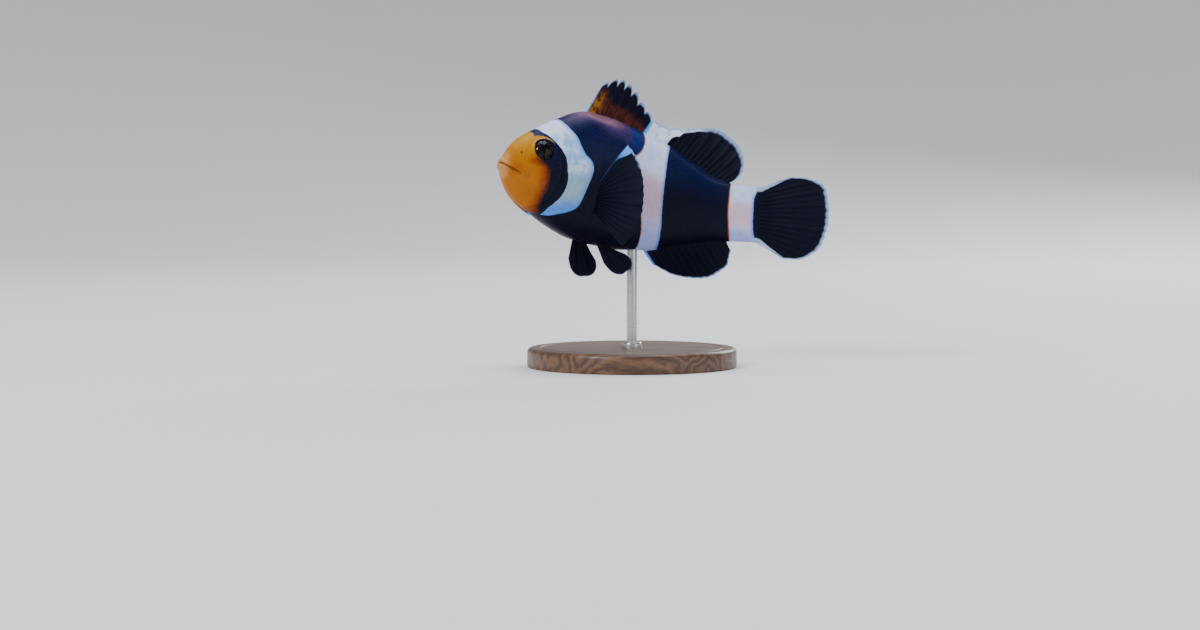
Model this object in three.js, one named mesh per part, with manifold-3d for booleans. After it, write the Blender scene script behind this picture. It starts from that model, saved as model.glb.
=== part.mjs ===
// A black-and-white clownfish, life size, hovering on a plain display stand with its head turned to one side.
// Millimetres, +Z up. The fish faces -X and turns its head towards -Y. The origin is the centre of the
// underside of the stand's base.
//
// The body is one skin wrapped round a bent spine. A place on it is given by how far it lies from the tip of
// the snout along the spine and by its angle round the section. The skin is parted where the colours change,
// and each fin grows from the heights and widths that the skin has at its root.
import * as THREE from "three";
import { mergeVertices } from "three/addons/utils/BufferGeometryUtils.js";
import Module from "manifold-3d";

const wasm = await Module();
wasm.setup();

// ---- Driving dimensions, in millimetres and degrees ----
const BODY_LENGTH = 72; // tip of the snout to the root of the tail fin, along the spine
const GAP = 0.3; // between neighbouring pieces
const ROD_TOP = 30; // height of the belly where the rod meets it
const ROD_PLACE = 0.6; // of the body length, where the rod meets the belly
const ROD_RADIUS = 1.3;
const BASE_RADIUS = 27;
const BASE_HEIGHT = 5;

// ---- Pose ----
const HEAD_TURN = 38; // the head's turn towards -Y
const TAIL_TURN = -12; // the tail's turn, back towards -Y
const TURN_SPAN = [0.22, 0.98]; // of the body length, where the bend lies
const HEAD_PITCH = 9; // snout up
const BODY_PITCH = 12.5;
const TAIL_PITCH = 3;
const NECK_SPAN = [0.1, 0.4]; // of the body length, where the head's pitch gives way to the body's
const PITCH_SPAN = [0.72, 1.06];

// ---- Body section, as shares of the body length at shares of the way from the snout to the tail ----
const BACK = [[0, 0], [0.02, 0.04], [0.045, 0.076], [0.075, 0.104], [0.13, 0.14], [0.22, 0.194], [0.32, 0.238],
  [0.42, 0.236], [0.55, 0.212], [0.65, 0.188], [0.75, 0.148], [0.88, 0.104], [1, 0.1]];
const BELLY = [[0, 0], [0.02, -0.058], [0.08, -0.123], [0.17, -0.162], [0.27, -0.197], [0.36, -0.214],
  [0.5, -0.216], [0.64, -0.192], [0.76, -0.148], [0.88, -0.108], [1, -0.1]];
const HALF_WIDTH = [[0, 0], [0.02, 0.032], [0.07, 0.063], [0.14, 0.087], [0.24, 0.104], [0.36, 0.11],
  [0.5, 0.102], [0.65, 0.08], [0.8, 0.052], [0.92, 0.032], [1, 0.021]];
const FLANK_FULLNESS = 0.9; // below 1 makes the sides of a section fuller than an ellipse's

// ---- Edges of the markings: [height, way along the body], both as shares of the body length ----
const MASK_EDGE = [[-0.2, 0.162], [-0.155, 0.157], [-0.13, 0.15], [-0.105, 0.151], [-0.07, 0.158],
  [-0.03, 0.158], [0, 0.153], [0.03, 0.12], [0.07, 0.098], [0.12, 0.105], [0.2, 0.11]];
const HEAD_BAND_FRONT = [[-0.2, 0.176], [-0.15, 0.173], [-0.13, 0.18], [-0.11, 0.197], [-0.09, 0.211],
  [-0.06, 0.222], [-0.03, 0.225], [0.01, 0.218], [0.045, 0.209], [0.07, 0.194], [0.1, 0.168], [0.12, 0.147],
  [0.13, 0.132], [0.2, 0.118]];
const HEAD_BAND_REAR = [[-0.2, 0.2], [-0.165, 0.2], [-0.15, 0.212], [-0.134, 0.25], [-0.12, 0.277],
  [-0.107, 0.291], [-0.09, 0.296], [-0.04, 0.306], [0.03, 0.32], [0.06, 0.308], [0.08, 0.28], [0.13, 0.25],
  [0.18, 0.212], [0.24, 0.2]];
const MIDDLE_BAND_FRONT = [[-0.24, 0.605], [-0.17, 0.609], [-0.14, 0.606], [-0.109, 0.597], [-0.075, 0.584],
  [-0.045, 0.558], [0, 0.515], [0.05, 0.482], [0.11, 0.502], [0.15, 0.537], [0.18, 0.547], [0.24, 0.55]];
const MIDDLE_BAND_REAR = [[-0.24, 0.684], [-0.16, 0.686], [-0.11, 0.682], [-0.05, 0.67], [0.06, 0.654],
  [0.14, 0.649], [0.24, 0.658]];
const TAIL_BAND_FRONT = [[-0.12, 0.928], [-0.045, 0.92], [0.01, 0.913], [0.05, 0.911], [0.12, 0.906]];

// ---- Eyes, mouth and nostrils ----
const EYE_PLACE = 0.129; // of the body length, from the snout
const EYE_ANGLE = 29; // round the section, up from its widest place
const EYE_RADIUS = 2.65;
const EYE_DEPTH = 1.6; // half of the eyeball's thickness from side to side
const EYE_PROUD = 0.4; // how far the eye stands out of the skin
const MOUTH_ANGLE = -12; // of the corners of the mouth, below the widest place
const MOUTH_REACH = 0.06; // of the body length, from the tip of the snout to the corners of the mouth
const MOUTH_DEPTH = 0.55;
const MOUTH_WIDTH = 0.2; // half of the open line between the lips
const LIP_WIDTH = 1.15;
const LIP_HEIGHT = 0.36;
const NOSTRIL_PLACE = 0.055;
const NOSTRIL_ANGLE = 34;
const NOSTRIL_RADIUS = 0.32;
const NOSTRIL_RIM = 0.55; // radius of the low rim round a nostril
const GILL_COVER_STEP = 0.6; // how far the rear edge of the gill cover stands out of the shoulder

// ---- Fins, in millimetres and degrees ----
const MEMBRANE = 0.28; // half of the thickness between the rays
const RAY_RIDGE = 0.17; // how far a ray stands out of the membrane
const FIN_EDGE = 0.15; // half of the thickness at the tips
const FIN_ROOT = 0.5; // half of the thickness at the root
const RAY_SHARE = 0.2; // half of a ray's width, as a share of the space between two rays

// ---- Fineness ----
const ROUND = 36; // points round the body
const FINEST = 0.015; // no edge left by a cut or a join is shorter
const SPINE_STEP = 0.25; // between the places of the spine's table
const SPINE_REACH = 110; // of the table, past the tips of the tail

// ==== Curves ====

const mix = (a, b, share) => a + (b - a) * share;
const radians = THREE.MathUtils.degToRad;
const smooth = ([from, to], value) => THREE.MathUtils.smoothstep(value, from, to);

/** A smooth curve through [place, value] stations that doesn't overshoot between them. */
function through(stations) {
  const slopes = stations.slice(1).map(([x, y], i) => (y - stations[i][1]) / (x - stations[i][0]));
  const tangents = stations.map((_, i) => {
    if (i === 0) return slopes[0];
    if (i === slopes.length) return slopes[i - 1];
    const [before, after] = [slopes[i - 1], slopes[i]];
    return before * after <= 0 ? 0 : (2 * before * after) / (before + after);
  });
  return (x) => {
    const last = stations.length - 2;
    let i = 0;
    while (i < last && x > stations[i + 1][0]) i++;
    const [x0, y0] = stations[i];
    const [x1, y1] = stations[i + 1];
    const t = THREE.MathUtils.clamp((x - x0) / (x1 - x0), 0, 1);
    const h = x1 - x0;
    return (
      y0 * (1 + 2 * t) * (1 - t) ** 2 +
      tangents[i] * h * t * (1 - t) ** 2 +
      y1 * t * t * (3 - 2 * t) +
      tangents[i + 1] * h * t * t * (t - 1)
    );
  };
}

/** The same through the square roots of the places, which rounds the snout. */
function roundedThrough(stations) {
  const curve = through(stations.map(([x, y]) => [Math.sqrt(x), y]));
  return (x) => curve(Math.sqrt(Math.max(x, 0)));
}

// ==== Spine ====

/** The directions along the spine to the tail, up and to the fish's left, at a distance from the snout. */
function axesAt(distance) {
  const share = distance / BODY_LENGTH;
  const turn = radians(mix(HEAD_TURN, TAIL_TURN, smooth(TURN_SPAN, share)));
  const front = mix(HEAD_PITCH, BODY_PITCH, smooth(NECK_SPAN, share));
  const pitch = radians(mix(front, TAIL_PITCH, smooth(PITCH_SPAN, share)));
  const along = new THREE.Vector3(
    Math.cos(turn) * Math.cos(pitch),
    Math.sin(turn) * Math.cos(pitch),
    -Math.sin(pitch),
  );
  const left = new THREE.Vector3(Math.sin(turn), -Math.cos(turn), 0);
  return { along, left, up: new THREE.Vector3().crossVectors(left, along) };
}

/** The spine as a table of evenly spaced places, the first at the snout. */
function laySpine() {
  const at = new THREE.Vector3();
  return Array.from({ length: SPINE_REACH / SPINE_STEP + 1 }, (_, i) => {
    const place = { at: at.clone(), ...axesAt(i * SPINE_STEP) };
    at.addScaledVector(place.along, SPINE_STEP);
    return place;
  });
}

const spine = laySpine();

/** A point beside the spine: a distance from the snout, then offsets to the left and up. */
function beside(distance, left, up) {
  const i = THREE.MathUtils.clamp(Math.floor(distance / SPINE_STEP), 0, spine.length - 2);
  const rest = distance - i * SPINE_STEP;
  const axes = axesAt(distance);
  return spine[i].at
    .clone()
    .addScaledVector(spine[i].along, rest)
    .addScaledVector(axes.left, left)
    .addScaledVector(axes.up, up)
    .add(hang);
}

// ==== Skin ====

const backShare = roundedThrough(BACK);
const bellyShare = roundedThrough(BELLY);
const widthShare = roundedThrough(HALF_WIDTH);
const backHeight = (distance) => backShare(distance / BODY_LENGTH) * BODY_LENGTH;
const bellyHeight = (distance) => bellyShare(distance / BODY_LENGTH) * BODY_LENGTH;
const halfWidth = (distance) => widthShare(distance / BODY_LENGTH) * BODY_LENGTH;

/** The section at a distance, at an angle round it from the left flank upwards, grown by a margin. */
function sectionPoint(distance, angle, grow = 0) {
  const [top, bottom] = [backHeight(distance), bellyHeight(distance)];
  const across = Math.cos(angle);
  return {
    left: (halfWidth(distance) + grow) * Math.sign(across) * Math.abs(across) ** FLANK_FULLNESS,
    up: (top + bottom) / 2 + ((top - bottom) / 2 + grow) * Math.sin(angle),
  };
}

/** A point on the skin, or outside it by a margin. */
function skinPoint(distance, angle, grow = 0) {
  const { left, up } = sectionPoint(distance, angle, grow);
  return beside(distance, left, up);
}

/** The direction straight out of the skin. */
function skinNormal(distance, angle) {
  const [ds, da] = [0.05, 0.01];
  const alongSkin = skinPoint(distance + ds, angle).sub(skinPoint(distance - ds, angle));
  const roundSkin = skinPoint(distance, angle + da).sub(skinPoint(distance, angle - da));
  return alongSkin.cross(roundSkin).negate().normalize();
}

const hang = new THREE.Vector3();
hang.copy(skinPoint(ROD_PLACE * BODY_LENGTH, -Math.PI / 2).negate()).z += ROD_TOP;

/** How far along the body a marking's edge crosses the skin at an angle. */
function edgeDistance(edge, angle) {
  const TRIES = 40;
  const DAMPING = 0.4;
  let distance = edge(0) * BODY_LENGTH;
  for (let i = 0; i < TRIES; i++) {
    const next = edge(sectionPoint(distance, angle).up / BODY_LENGTH) * BODY_LENGTH;
    distance = mix(distance, next, DAMPING);
  }
  return distance;
}

// ==== Solids ====

/** A closed solid from points and triangles that share them. */
function solidFrom(points, triangles) {
  return new wasm.Manifold(
    new wasm.Mesh({
      numProp: 3,
      vertProperties: Float32Array.from(points.flatMap((p) => [p.x, p.y, p.z])),
      triVerts: Uint32Array.from(triangles.flat()),
    }),
  );
}

/** A closed solid from one of three.js's closed geometries. */
function solidOf(geometry) {
  const bare = new THREE.BufferGeometry();
  bare.setAttribute("position", geometry.getAttribute("position"));
  bare.setIndex(geometry.index);
  const merged = mergeVertices(bare, 1e-4);
  return new wasm.Manifold(
    new wasm.Mesh({
      numProp: 3,
      vertProperties: merged.getAttribute("position").array,
      triVerts: Uint32Array.from(merged.index.array),
    }),
  );
}

/** The largest closed piece of a solid, without the slivers that cuts and joins leave. */
function largest(solid) {
  const pieces = solid.simplify(FINEST).decompose();
  return pieces.reduce((a, b) => (b.volume() > a.volume() ? b : a));
}

/** A three.js geometry of a solid. */
function geometryOf(solid) {
  const { vertProperties, triVerts } = solid.getMesh();
  const geometry = new THREE.BufferGeometry();
  geometry.setAttribute("position", new THREE.BufferAttribute(vertProperties, 3));
  geometry.setIndex(new THREE.BufferAttribute(triVerts, 1));
  geometry.computeVertexNormals();
  return geometry;
}

/** Rings of points joined in order into a closed tube, with a fan from a middle point at each end. */
function tubeOfRings(rings, firstMiddle, lastMiddle) {
  const around = rings[0].length;
  const points = [...rings.flat(), firstMiddle, lastMiddle];
  const triangles = [];
  const first = points.length - 2;
  const last = points.length - 1;
  const at = (ring, i) => ring * around + (i % around);
  for (let i = 0; i < around; i++) {
    for (let ring = 0; ring < rings.length - 1; ring++) {
      const [a, b] = [at(ring, i), at(ring, i + 1)];
      const [c, d] = [at(ring + 1, i), at(ring + 1, i + 1)];
      triangles.push([a, b, d], [a, d, c]);
    }
    triangles.push([first, at(0, i + 1), at(0, i)]);
    triangles.push([last, at(rings.length - 1, i), at(rings.length - 1, i + 1)]);
  }
  return facingOut(solidFrom, points, triangles);
}

/** Builds a solid and turns its faces round if they point inwards. */
function facingOut(build, points, triangles) {
  const solid = build(points, triangles);
  return solid.volume() > 0 ? solid : build(points, triangles.map(([a, b, c]) => [a, c, b]));
}

const evenAngles = Array.from({ length: ROUND }, (_, i) => (i / ROUND) * 2 * Math.PI);

/**
 * A length of the body between two edges, each a function of the angle round the section.
 * swell(distance, angle, share) is how far the skin stands out, share being how far along this length it is.
 */
function bodyLength({ from, to, rings, swell = () => 0, spacing = (share) => share, angles = evenAngles }) {
  const starts = angles.map(from);
  const ends = angles.map(to);
  const middle = (edge) => {
    const distance = evenAngles.reduce((sum, angle) => sum + edge(angle), 0) / ROUND;
    return beside(distance, 0, (backHeight(distance) + bellyHeight(distance)) / 2);
  };
  const loops = Array.from({ length: rings + 1 }, (_, k) => {
    const share = spacing(k / rings);
    return angles.map((angle, i) => {
      const distance = mix(starts[i], ends[i], share);
      return skinPoint(distance, angle, swell(distance, angle, share));
    });
  });
  return tubeOfRings(loops, middle(from), middle(to));
}

// ==== Body lengths ====

const edges = {
  mask: through(MASK_EDGE),
  headBandFront: through(HEAD_BAND_FRONT),
  headBandRear: through(HEAD_BAND_REAR),
  middleBandFront: through(MIDDLE_BAND_FRONT),
  middleBandRear: through(MIDDLE_BAND_REAR),
  tailBandFront: through(TAIL_BAND_FRONT),
};
const before = (edge) => (angle) => edgeDistance(edge, angle) - GAP / 2;
const after = (edge) => (angle) => edgeDistance(edge, angle) + GAP / 2;
const atDistance = (distance) => () => distance;

/** The gill covers' swell, on the flanks and growing to the rear edge. */
function gillSwell(_distance, angle, share) {
  const FLANK_SPAN = [0.35, 0.85];
  const RISE_SPAN = [0.1, 0.85];
  return GILL_COVER_STEP * smooth(FLANK_SPAN, Math.abs(Math.cos(angle))) * smooth(RISE_SPAN, share);
}

/** A ball flattened along a direction, with its middle at a point. */
function flatBall(middle, direction, radius, depth, segments) {
  const ball = new THREE.SphereGeometry(1, segments, Math.ceil(segments / 2) + 1).rotateX(Math.PI / 2);
  ball.scale(radius, radius, depth);
  ball.applyQuaternion(new THREE.Quaternion().setFromUnitVectors(new THREE.Vector3(0, 0, 1), direction));
  return solidOf(ball.translate(middle.x, middle.y, middle.z));
}

/** The eyeball, or its socket with a margin: a flattened ball set in the skin on one side. */
function eyeball(side, margin) {
  const angle = side > 0 ? radians(EYE_ANGLE) : Math.PI - radians(EYE_ANGLE);
  const distance = EYE_PLACE * BODY_LENGTH;
  const out = skinNormal(distance, angle);
  const middle = skinPoint(distance, angle).addScaledVector(out, EYE_PROUD - EYE_DEPTH);
  return flatBall(middle, out, EYE_RADIUS + margin, EYE_DEPTH + margin, 18);
}

/** How far the lips stand out of the snout, and the line of the mouth lies in it. */
function mouthForm(distance, angle) {
  const CORNER_WIDENING = 1.15;
  const reach = MOUTH_REACH * BODY_LENGTH;
  const { left, up } = sectionPoint(distance, angle);
  const corner = sectionPoint(distance, radians(MOUTH_ANGLE));
  const above = up - (Math.abs(left) * corner.up) / corner.left;
  const away = Math.hypot(above, 0.75 * Math.max(0, distance - 0.92 * reach));
  const width = LIP_WIDTH * mix(1, CORNER_WIDENING, smooth([0, reach], distance));
  const lip = Math.sin(Math.PI * THREE.MathUtils.clamp(away / width, 0, 1)) ** 2;
  const closing = 1 - smooth([0.75 * reach, 1.05 * reach], distance);
  const line = closing * (1 - smooth([0.3 * MOUTH_WIDTH, 1.7 * MOUTH_WIDTH], away));
  return mix(1, 0.45, smooth([0.2 * reach, 1.1 * reach], distance)) * LIP_HEIGHT * lip - MOUTH_DEPTH * line;
}

/** Angles round the snout, close together where the mouth and the lips are. */
function snoutAngles() {
  const NEAR_MOUTH = [1.5, 3.1, 4.8, 6.6, 8.6, 10.9, 13.6, 16.8, 20.5, 25, 31];
  const FREE_COUNT = 10;
  const reach = NEAR_MOUTH.at(-1);
  const [left, right] = [MOUTH_ANGLE, 180 - MOUTH_ANGLE];
  const steps = [0, ...NEAR_MOUTH, ...NEAR_MOUTH.map((step) => -step)];
  const close = [left, right].flatMap((corner) => steps.map((step) => corner + step));
  const between = (from, to) =>
    Array.from({ length: FREE_COUNT }, (_, i) => mix(from, to, (i + 1) / (FREE_COUNT + 1)));
  const above = between(left + reach, right - reach);
  const below = between(right + reach, left + 360 - reach);
  return [...close, ...above, ...below].sort((a, b) => a - b).map(radians);
}

/** A nostril's rim or, narrower and deeper, its hole. */
function nostril(side, radius, depth) {
  const angle = side > 0 ? radians(NOSTRIL_ANGLE) : Math.PI - radians(NOSTRIL_ANGLE);
  const distance = NOSTRIL_PLACE * BODY_LENGTH;
  return flatBall(skinPoint(distance, angle), skinNormal(distance, angle), radius, depth, 10);
}

const sockets = eyeball(1, GAP).add(eyeball(-1, GAP));

/** The orange front of the head, with the lips, the line of the mouth and the nostrils. */
function snout() {
  const TIP = 0.003;
  const RIM_HEIGHT = 0.25;
  const HOLE_DEPTH = 0.8;
  let solid = bodyLength({
    from: atDistance(TIP),
    to: before(edges.mask),
    rings: 36,
    spacing: (share) => share ** 2,
    swell: mouthForm,
    angles: snoutAngles(),
  });
  for (const side of [1, -1]) {
    solid = solid.add(nostril(side, NOSTRIL_RIM, RIM_HEIGHT));
    solid = solid.subtract(nostril(side, NOSTRIL_RADIUS, HOLE_DEPTH));
  }
  return largest(solid.subtract(sockets));
}

/** The dark length of the head behind the mask, with the eye sockets. */
function head() {
  const solid = bodyLength({ from: after(edges.mask), to: before(edges.headBandFront), rings: 4 });
  return largest(solid.subtract(sockets));
}

/** The white band over the nape and the gill covers. */
const headBand = () =>
  bodyLength({
    from: after(edges.headBandFront),
    to: before(edges.headBandRear),
    rings: 7,
    swell: gillSwell,
  });

// ==== Fins ====

/**
 * A fin as one closed solid: a membrane with a ridge along each ray.
 * place(ray, reach) is its middle surface; ray runs 0 to 1 along the root and reach 0 to 1 out to the edge.
 * notch is how far the membrane falls short of the tips of the rays, as a share of their length.
 */
function fin({ rays, steps, place, notch = 0.03 }) {
  const DEEP_NOTCH = 0.1;
  const space = 1 / (rays - 1);
  const columns = [];
  for (let i = 0; i < rays; i++) {
    if (i > 0) columns.push({ ray: (i - RAY_SHARE) * space, ridge: 0, fall: 0.5 });
    columns.push({ ray: i * space, ridge: 1, fall: 0 });
    if (i < rays - 1) columns.push({ ray: (i + RAY_SHARE) * space, ridge: 0, fall: 0.5 });
    if (i < rays - 1 && notch > DEEP_NOTCH) columns.push({ ray: (i + 0.5) * space, ridge: 0, fall: 1 });
  }
  const points = [];
  for (const face of [1, -1]) {
    for (const { ray, ridge, fall } of columns) {
      for (let k = 0; k <= steps; k++) {
        const reach = (k / steps) * (1 - notch * fall);
        const inner = mix(FIN_ROOT, MEMBRANE, smooth([0, 0.25], reach));
        const flat = mix(inner, FIN_EDGE, smooth([0.5, 1], reach));
        const half = flat + ridge * RAY_RIDGE * (1 - 0.6 * reach);
        points.push(place(ray, reach).addScaledVector(finNormal(place, ray, reach), face * half));
      }
    }
  }
  return facingOut(solidFrom, points, sheetTriangles(columns.length, steps + 1));
}

/** The direction out of a fin's middle surface. */
function finNormal(place, ray, reach) {
  const STEP = 0.02;
  const [r0, r1] = [Math.max(ray - STEP, 0), Math.min(ray + STEP, 1)];
  const [v0, v1] = [Math.max(reach - STEP, 0), Math.min(reach + STEP, 1)];
  const acrossRays = place(r1, reach).sub(place(r0, reach));
  const alongRay = place(ray, v1).sub(place(ray, v0));
  return acrossRays.cross(alongRay).normalize();
}

/** The triangles of a thick sheet: two faces split alike, and a wall round them. */
function sheetTriangles(columns, rows) {
  const triangles = [];
  const at = (face, c, k) => face * columns * rows + c * rows + k;
  for (let c = 0; c < columns - 1; c++) {
    for (let k = 0; k < rows - 1; k++) {
      for (const face of [0, 1]) {
        const corners = [at(face, c, k), at(face, c + 1, k), at(face, c + 1, k + 1), at(face, c, k + 1)];
        const [p, q, r, s] = face ? corners : [corners[0], corners[3], corners[2], corners[1]];
        triangles.push([p, q, r], [p, r, s]);
      }
    }
  }
  const rim = [];
  for (let c = 0; c < columns - 1; c++) rim.push([c, 0]);
  for (let k = 0; k < rows - 1; k++) rim.push([columns - 1, k]);
  for (let c = columns - 1; c > 0; c--) rim.push([c, rows - 1]);
  for (let k = rows - 1; k > 0; k--) rim.push([0, k]);
  rim.forEach(([c0, k0], i) => {
    const [c1, k1] = rim[(i + 1) % rim.length];
    const [a, b, c, d] = [at(0, c0, k0), at(0, c1, k1), at(1, c1, k1), at(1, c0, k0)];
    triangles.push([a, b, c], [a, c, d]);
  });
  return triangles;
}

/**
 * A fin on the midline of the back or the belly. Rays start on the skin and lean back from it: length and lean
 * are curves along the root, side is 1 above and -1 below, and sway bends the fin to the left at its edge.
 */
function midlineFin({ root, rays, steps, lengths, leans, side, notch, sway }) {
  const lengthAt = through(lengths);
  const leanAt = through(leans);
  const height = side > 0 ? backHeight : bellyHeight;
  const WAVE_START = 0.3; // where along its half wave the sway begins
  const place = (ray, reach) => {
    const distance = mix(root[0], root[1], ray) * BODY_LENGTH;
    const lean = radians(leanAt(ray));
    const out = lengthAt(ray) * reach;
    const bend = sway * reach * reach * Math.sin(Math.PI * (WAVE_START + ray));
    const rise = side * (GAP + out * Math.sin(lean));
    return beside(distance + out * Math.cos(lean), bend, height(distance) + rise);
  };
  return fin({ rays, steps, place, notch });
}

const dorsalSpines = () =>
  midlineFin({
    root: [0.319, 0.552],
    rays: 8,
    steps: 6,
    side: 1,
    notch: 0.14,
    lengths: [[0, 8.2], [0.14, 9.9], [0.28, 10.7], [0.43, 10.1], [0.57, 9], [0.71, 7.3], [0.86, 5.8],
      [1, 4.2]],
    leans: [[0, 68], [0.2, 72], [0.5, 74], [1, 66]],
    sway: 0.5,
  });

const dorsalNotch = () =>
  midlineFin({
    root: [0.562, 0.655],
    rays: 4,
    steps: 4,
    side: 1,
    notch: 0.14,
    lengths: [[0, 4.3], [0.33, 3.8], [0.66, 4.1], [1, 5.2]],
    leans: [[0, 78], [1, 66]],
    sway: 0.2,
  });

const dorsalRays = () =>
  midlineFin({
    root: [0.664, 0.885],
    rays: 13,
    steps: 6,
    side: 1,
    lengths: [[0, 6], [0.2, 9.2], [0.4, 11.2], [0.6, 11.4], [0.8, 9.6], [0.9, 7.3], [1, 3.4]],
    leans: [[0, 64], [0.2, 62], [0.4, 55], [0.6, 46], [0.8, 38], [0.9, 30], [1, 17]],
    sway: -1.4,
  });

const analFin = () =>
  midlineFin({
    root: [0.63, 0.91],
    rays: 13,
    steps: 6,
    side: -1,
    lengths: [[0, 4.8], [0.2, 8.2], [0.5, 9.8], [0.8, 7.6], [1, 2.6]],
    leans: [[0, 34], [0.3, 44], [0.7, 48], [1, 54]],
    sway: 1.1,
  });

/** The tail fin: its rays spread from the end of the body like a fan. */
function tailFin() {
  const lengthAt = through([[0, 9.6], [0.1, 15], [0.25, 18.8], [0.5, 19.4], [0.75, 18.2], [0.9, 14.6], [1, 9]]);
  const spreadAt = through([[0, 20], [0.25, 12], [0.5, 1], [0.75, -10], [1, -27]]);
  const [top, bottom] = [backHeight(BODY_LENGTH), bellyHeight(BODY_LENGTH)];
  const ROOT_INSET = 0.03;
  const SWAY = 1.2;
  const place = (ray, reach) => {
    const spread = radians(spreadAt(ray));
    const out = lengthAt(ray) * reach;
    const start = mix(top, bottom, mix(ROOT_INSET, 1 - ROOT_INSET, ray));
    const bend = SWAY * reach * reach * Math.sin(Math.PI * mix(0.15, 1.05, ray));
    return beside(BODY_LENGTH + GAP + out * Math.cos(spread), bend, start + out * Math.sin(spread));
  };
  return fin({ rays: 15, steps: 7, place });
}

/** The whole skin grown by the gap, to cut the roots of the paired fins and the rod. */
const grownBody = bodyLength({
  from: atDistance(0.02),
  to: atDistance(BODY_LENGTH),
  rings: 44,
  swell: () => GAP,
  spacing: (share) => share ** 1.4,
});

/**
 * One fin of a pair, rooted on the flank between two places and spread from it: lifts is each ray's angle above
 * the spine's direction, and flare how far the whole fin swings out from the body.
 */
function pairedFin({ side, root, rays, steps, lengths, lifts, flare, cup, notch }) {
  const lengthAt = through(lengths);
  const liftAt = through(lifts);
  const mirrored = (angle) => (side > 0 ? angle : Math.PI - angle);
  const SUNK = 1.2; // how deep the root starts under the skin, before the cut
  const place = (ray, reach) => {
    const distance = mix(root.from[0], root.to[0], ray) * BODY_LENGTH;
    const angle = mirrored(radians(mix(root.from[1], root.to[1], ray)));
    const { along, left, up } = axesAt(distance);
    const lift = radians(liftAt(ray));
    const swing = radians(flare + cup * reach);
    const back = along.clone().multiplyScalar(Math.cos(swing)).addScaledVector(left, side * Math.sin(swing));
    const direction = back.multiplyScalar(Math.cos(lift)).addScaledVector(up, Math.sin(lift));
    return skinPoint(distance, angle).addScaledVector(direction, mix(-SUNK, lengthAt(ray), reach));
  };
  return largest(fin({ rays, steps, place, notch }).subtract(grownBody));
}

const pectoralFin = (side, flare) =>
  pairedFin({
    side,
    flare,
    cup: -12,
    root: { from: [0.362, -3], to: [0.385, -34] },
    rays: 12,
    steps: 6,
    lengths: [[0, 10.6], [0.2, 12.6], [0.45, 13.8], [0.7, 14.3], [1, 12.5]],
    lifts: [[0, 56], [0.5, 4], [1, -36]],
  });

const pelvicFin = (side, place, lean, flare, length) =>
  pairedFin({
    side,
    flare,
    cup: -10,
    root: { from: [place, -66], to: [place + 0.045, -76] },
    rays: 6,
    steps: 6,
    notch: 0.05,
    lengths: [[0, 0.76 * length], [0.3, length], [0.7, 0.97 * length], [1, 0.76 * length]],
    lifts: [[0, lean - 20], [1, lean + 28]],
  });

// ==== Stand ====

/** The base: a low round block with a rounded upper edge. */
function standBase() {
  const [ROUNDING, FOOT, ARC] = [1.2, 0.4, 4];
  const profile = [[0, 0], [BASE_RADIUS - FOOT, 0], [BASE_RADIUS, FOOT]];
  for (let i = 0; i <= ARC; i++) {
    const angle = (i / ARC) * (Math.PI / 2);
    const [inward, down] = [ROUNDING * (1 - Math.cos(angle)), ROUNDING * (1 - Math.sin(angle))];
    profile.push([BASE_RADIUS - inward, BASE_HEIGHT - down]);
  }
  profile.push([0, BASE_HEIGHT]);
  return new THREE.LatheGeometry(profile.map(([x, y]) => new THREE.Vector2(x, y)), 48).rotateX(Math.PI / 2);
}

/** The rod, from the top of the base to the skin of the belly. */
function standRod() {
  const bottom = BASE_HEIGHT + GAP;
  const top = ROD_TOP + 2 * ROD_RADIUS; // inside the belly, before the cut
  const rod = new THREE.CylinderGeometry(ROD_RADIUS, ROD_RADIUS, top - bottom, 20).rotateX(Math.PI / 2);
  return largest(solidOf(rod.translate(0, 0, (top + bottom) / 2)).subtract(grownBody));
}

// ==== Finishes ====

const finish = (color, roughness, metalness = 0) =>
  new THREE.MeshStandardMaterial({ color, roughness, metalness });
const finishes = {
  orange: finish(0xd9821a, 0.45),
  black: finish(0x16161c, 0.4),
  white: finish(0xe9ebf2, 0.4),
  finBlack: finish(0x0f1016, 0.5),
  finBrown: finish(0x7a3c20, 0.5),
  finWhite: finish(0xd5dded, 0.5),
  eye: finish(0x0b0c12, 0.12),
  wood: finish(0x5a3622, 0.45),
  steel: finish(0xb4b6b9, 0.3, 1),
};

// ==== The model ====

const model = new THREE.Group();

function addNode(name, shape, material) {
  const mesh = new THREE.Mesh(shape.isBufferGeometry ? shape : geometryOf(shape), material);
  mesh.name = name;
  model.add(mesh);
}

addNode("snout", snout(), finishes.orange);
addNode("head", head(), finishes.black);
addNode("head_band", headBand(), finishes.white);
addNode(
  "shoulder",
  bodyLength({ from: after(edges.headBandRear), to: before(edges.middleBandFront), rings: 9 }),
  finishes.black,
);
addNode(
  "middle_band",
  bodyLength({ from: after(edges.middleBandFront), to: before(edges.middleBandRear), rings: 5 }),
  finishes.white,
);
addNode(
  "flank",
  bodyLength({ from: after(edges.middleBandRear), to: before(edges.tailBandFront), rings: 9 }),
  finishes.black,
);
addNode(
  "tail_stalk",
  bodyLength({ from: after(edges.tailBandFront), to: atDistance(BODY_LENGTH), rings: 4 }),
  finishes.white,
);
addNode("eye_left", eyeball(1, 0), finishes.eye);
addNode("eye_right", eyeball(-1, 0), finishes.eye);
addNode("dorsal_fin_spines", dorsalSpines(), finishes.finBrown);
addNode("dorsal_fin_notch", dorsalNotch(), finishes.finWhite);
addNode("dorsal_fin_rays", dorsalRays(), finishes.finBlack);
addNode("anal_fin", analFin(), finishes.finBlack);
addNode("tail_fin", tailFin(), finishes.finBlack);
addNode("pectoral_fin_left", pectoralFin(1, 80), finishes.finBlack);
addNode("pectoral_fin_right", pectoralFin(-1, 52), finishes.finBlack);
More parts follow.
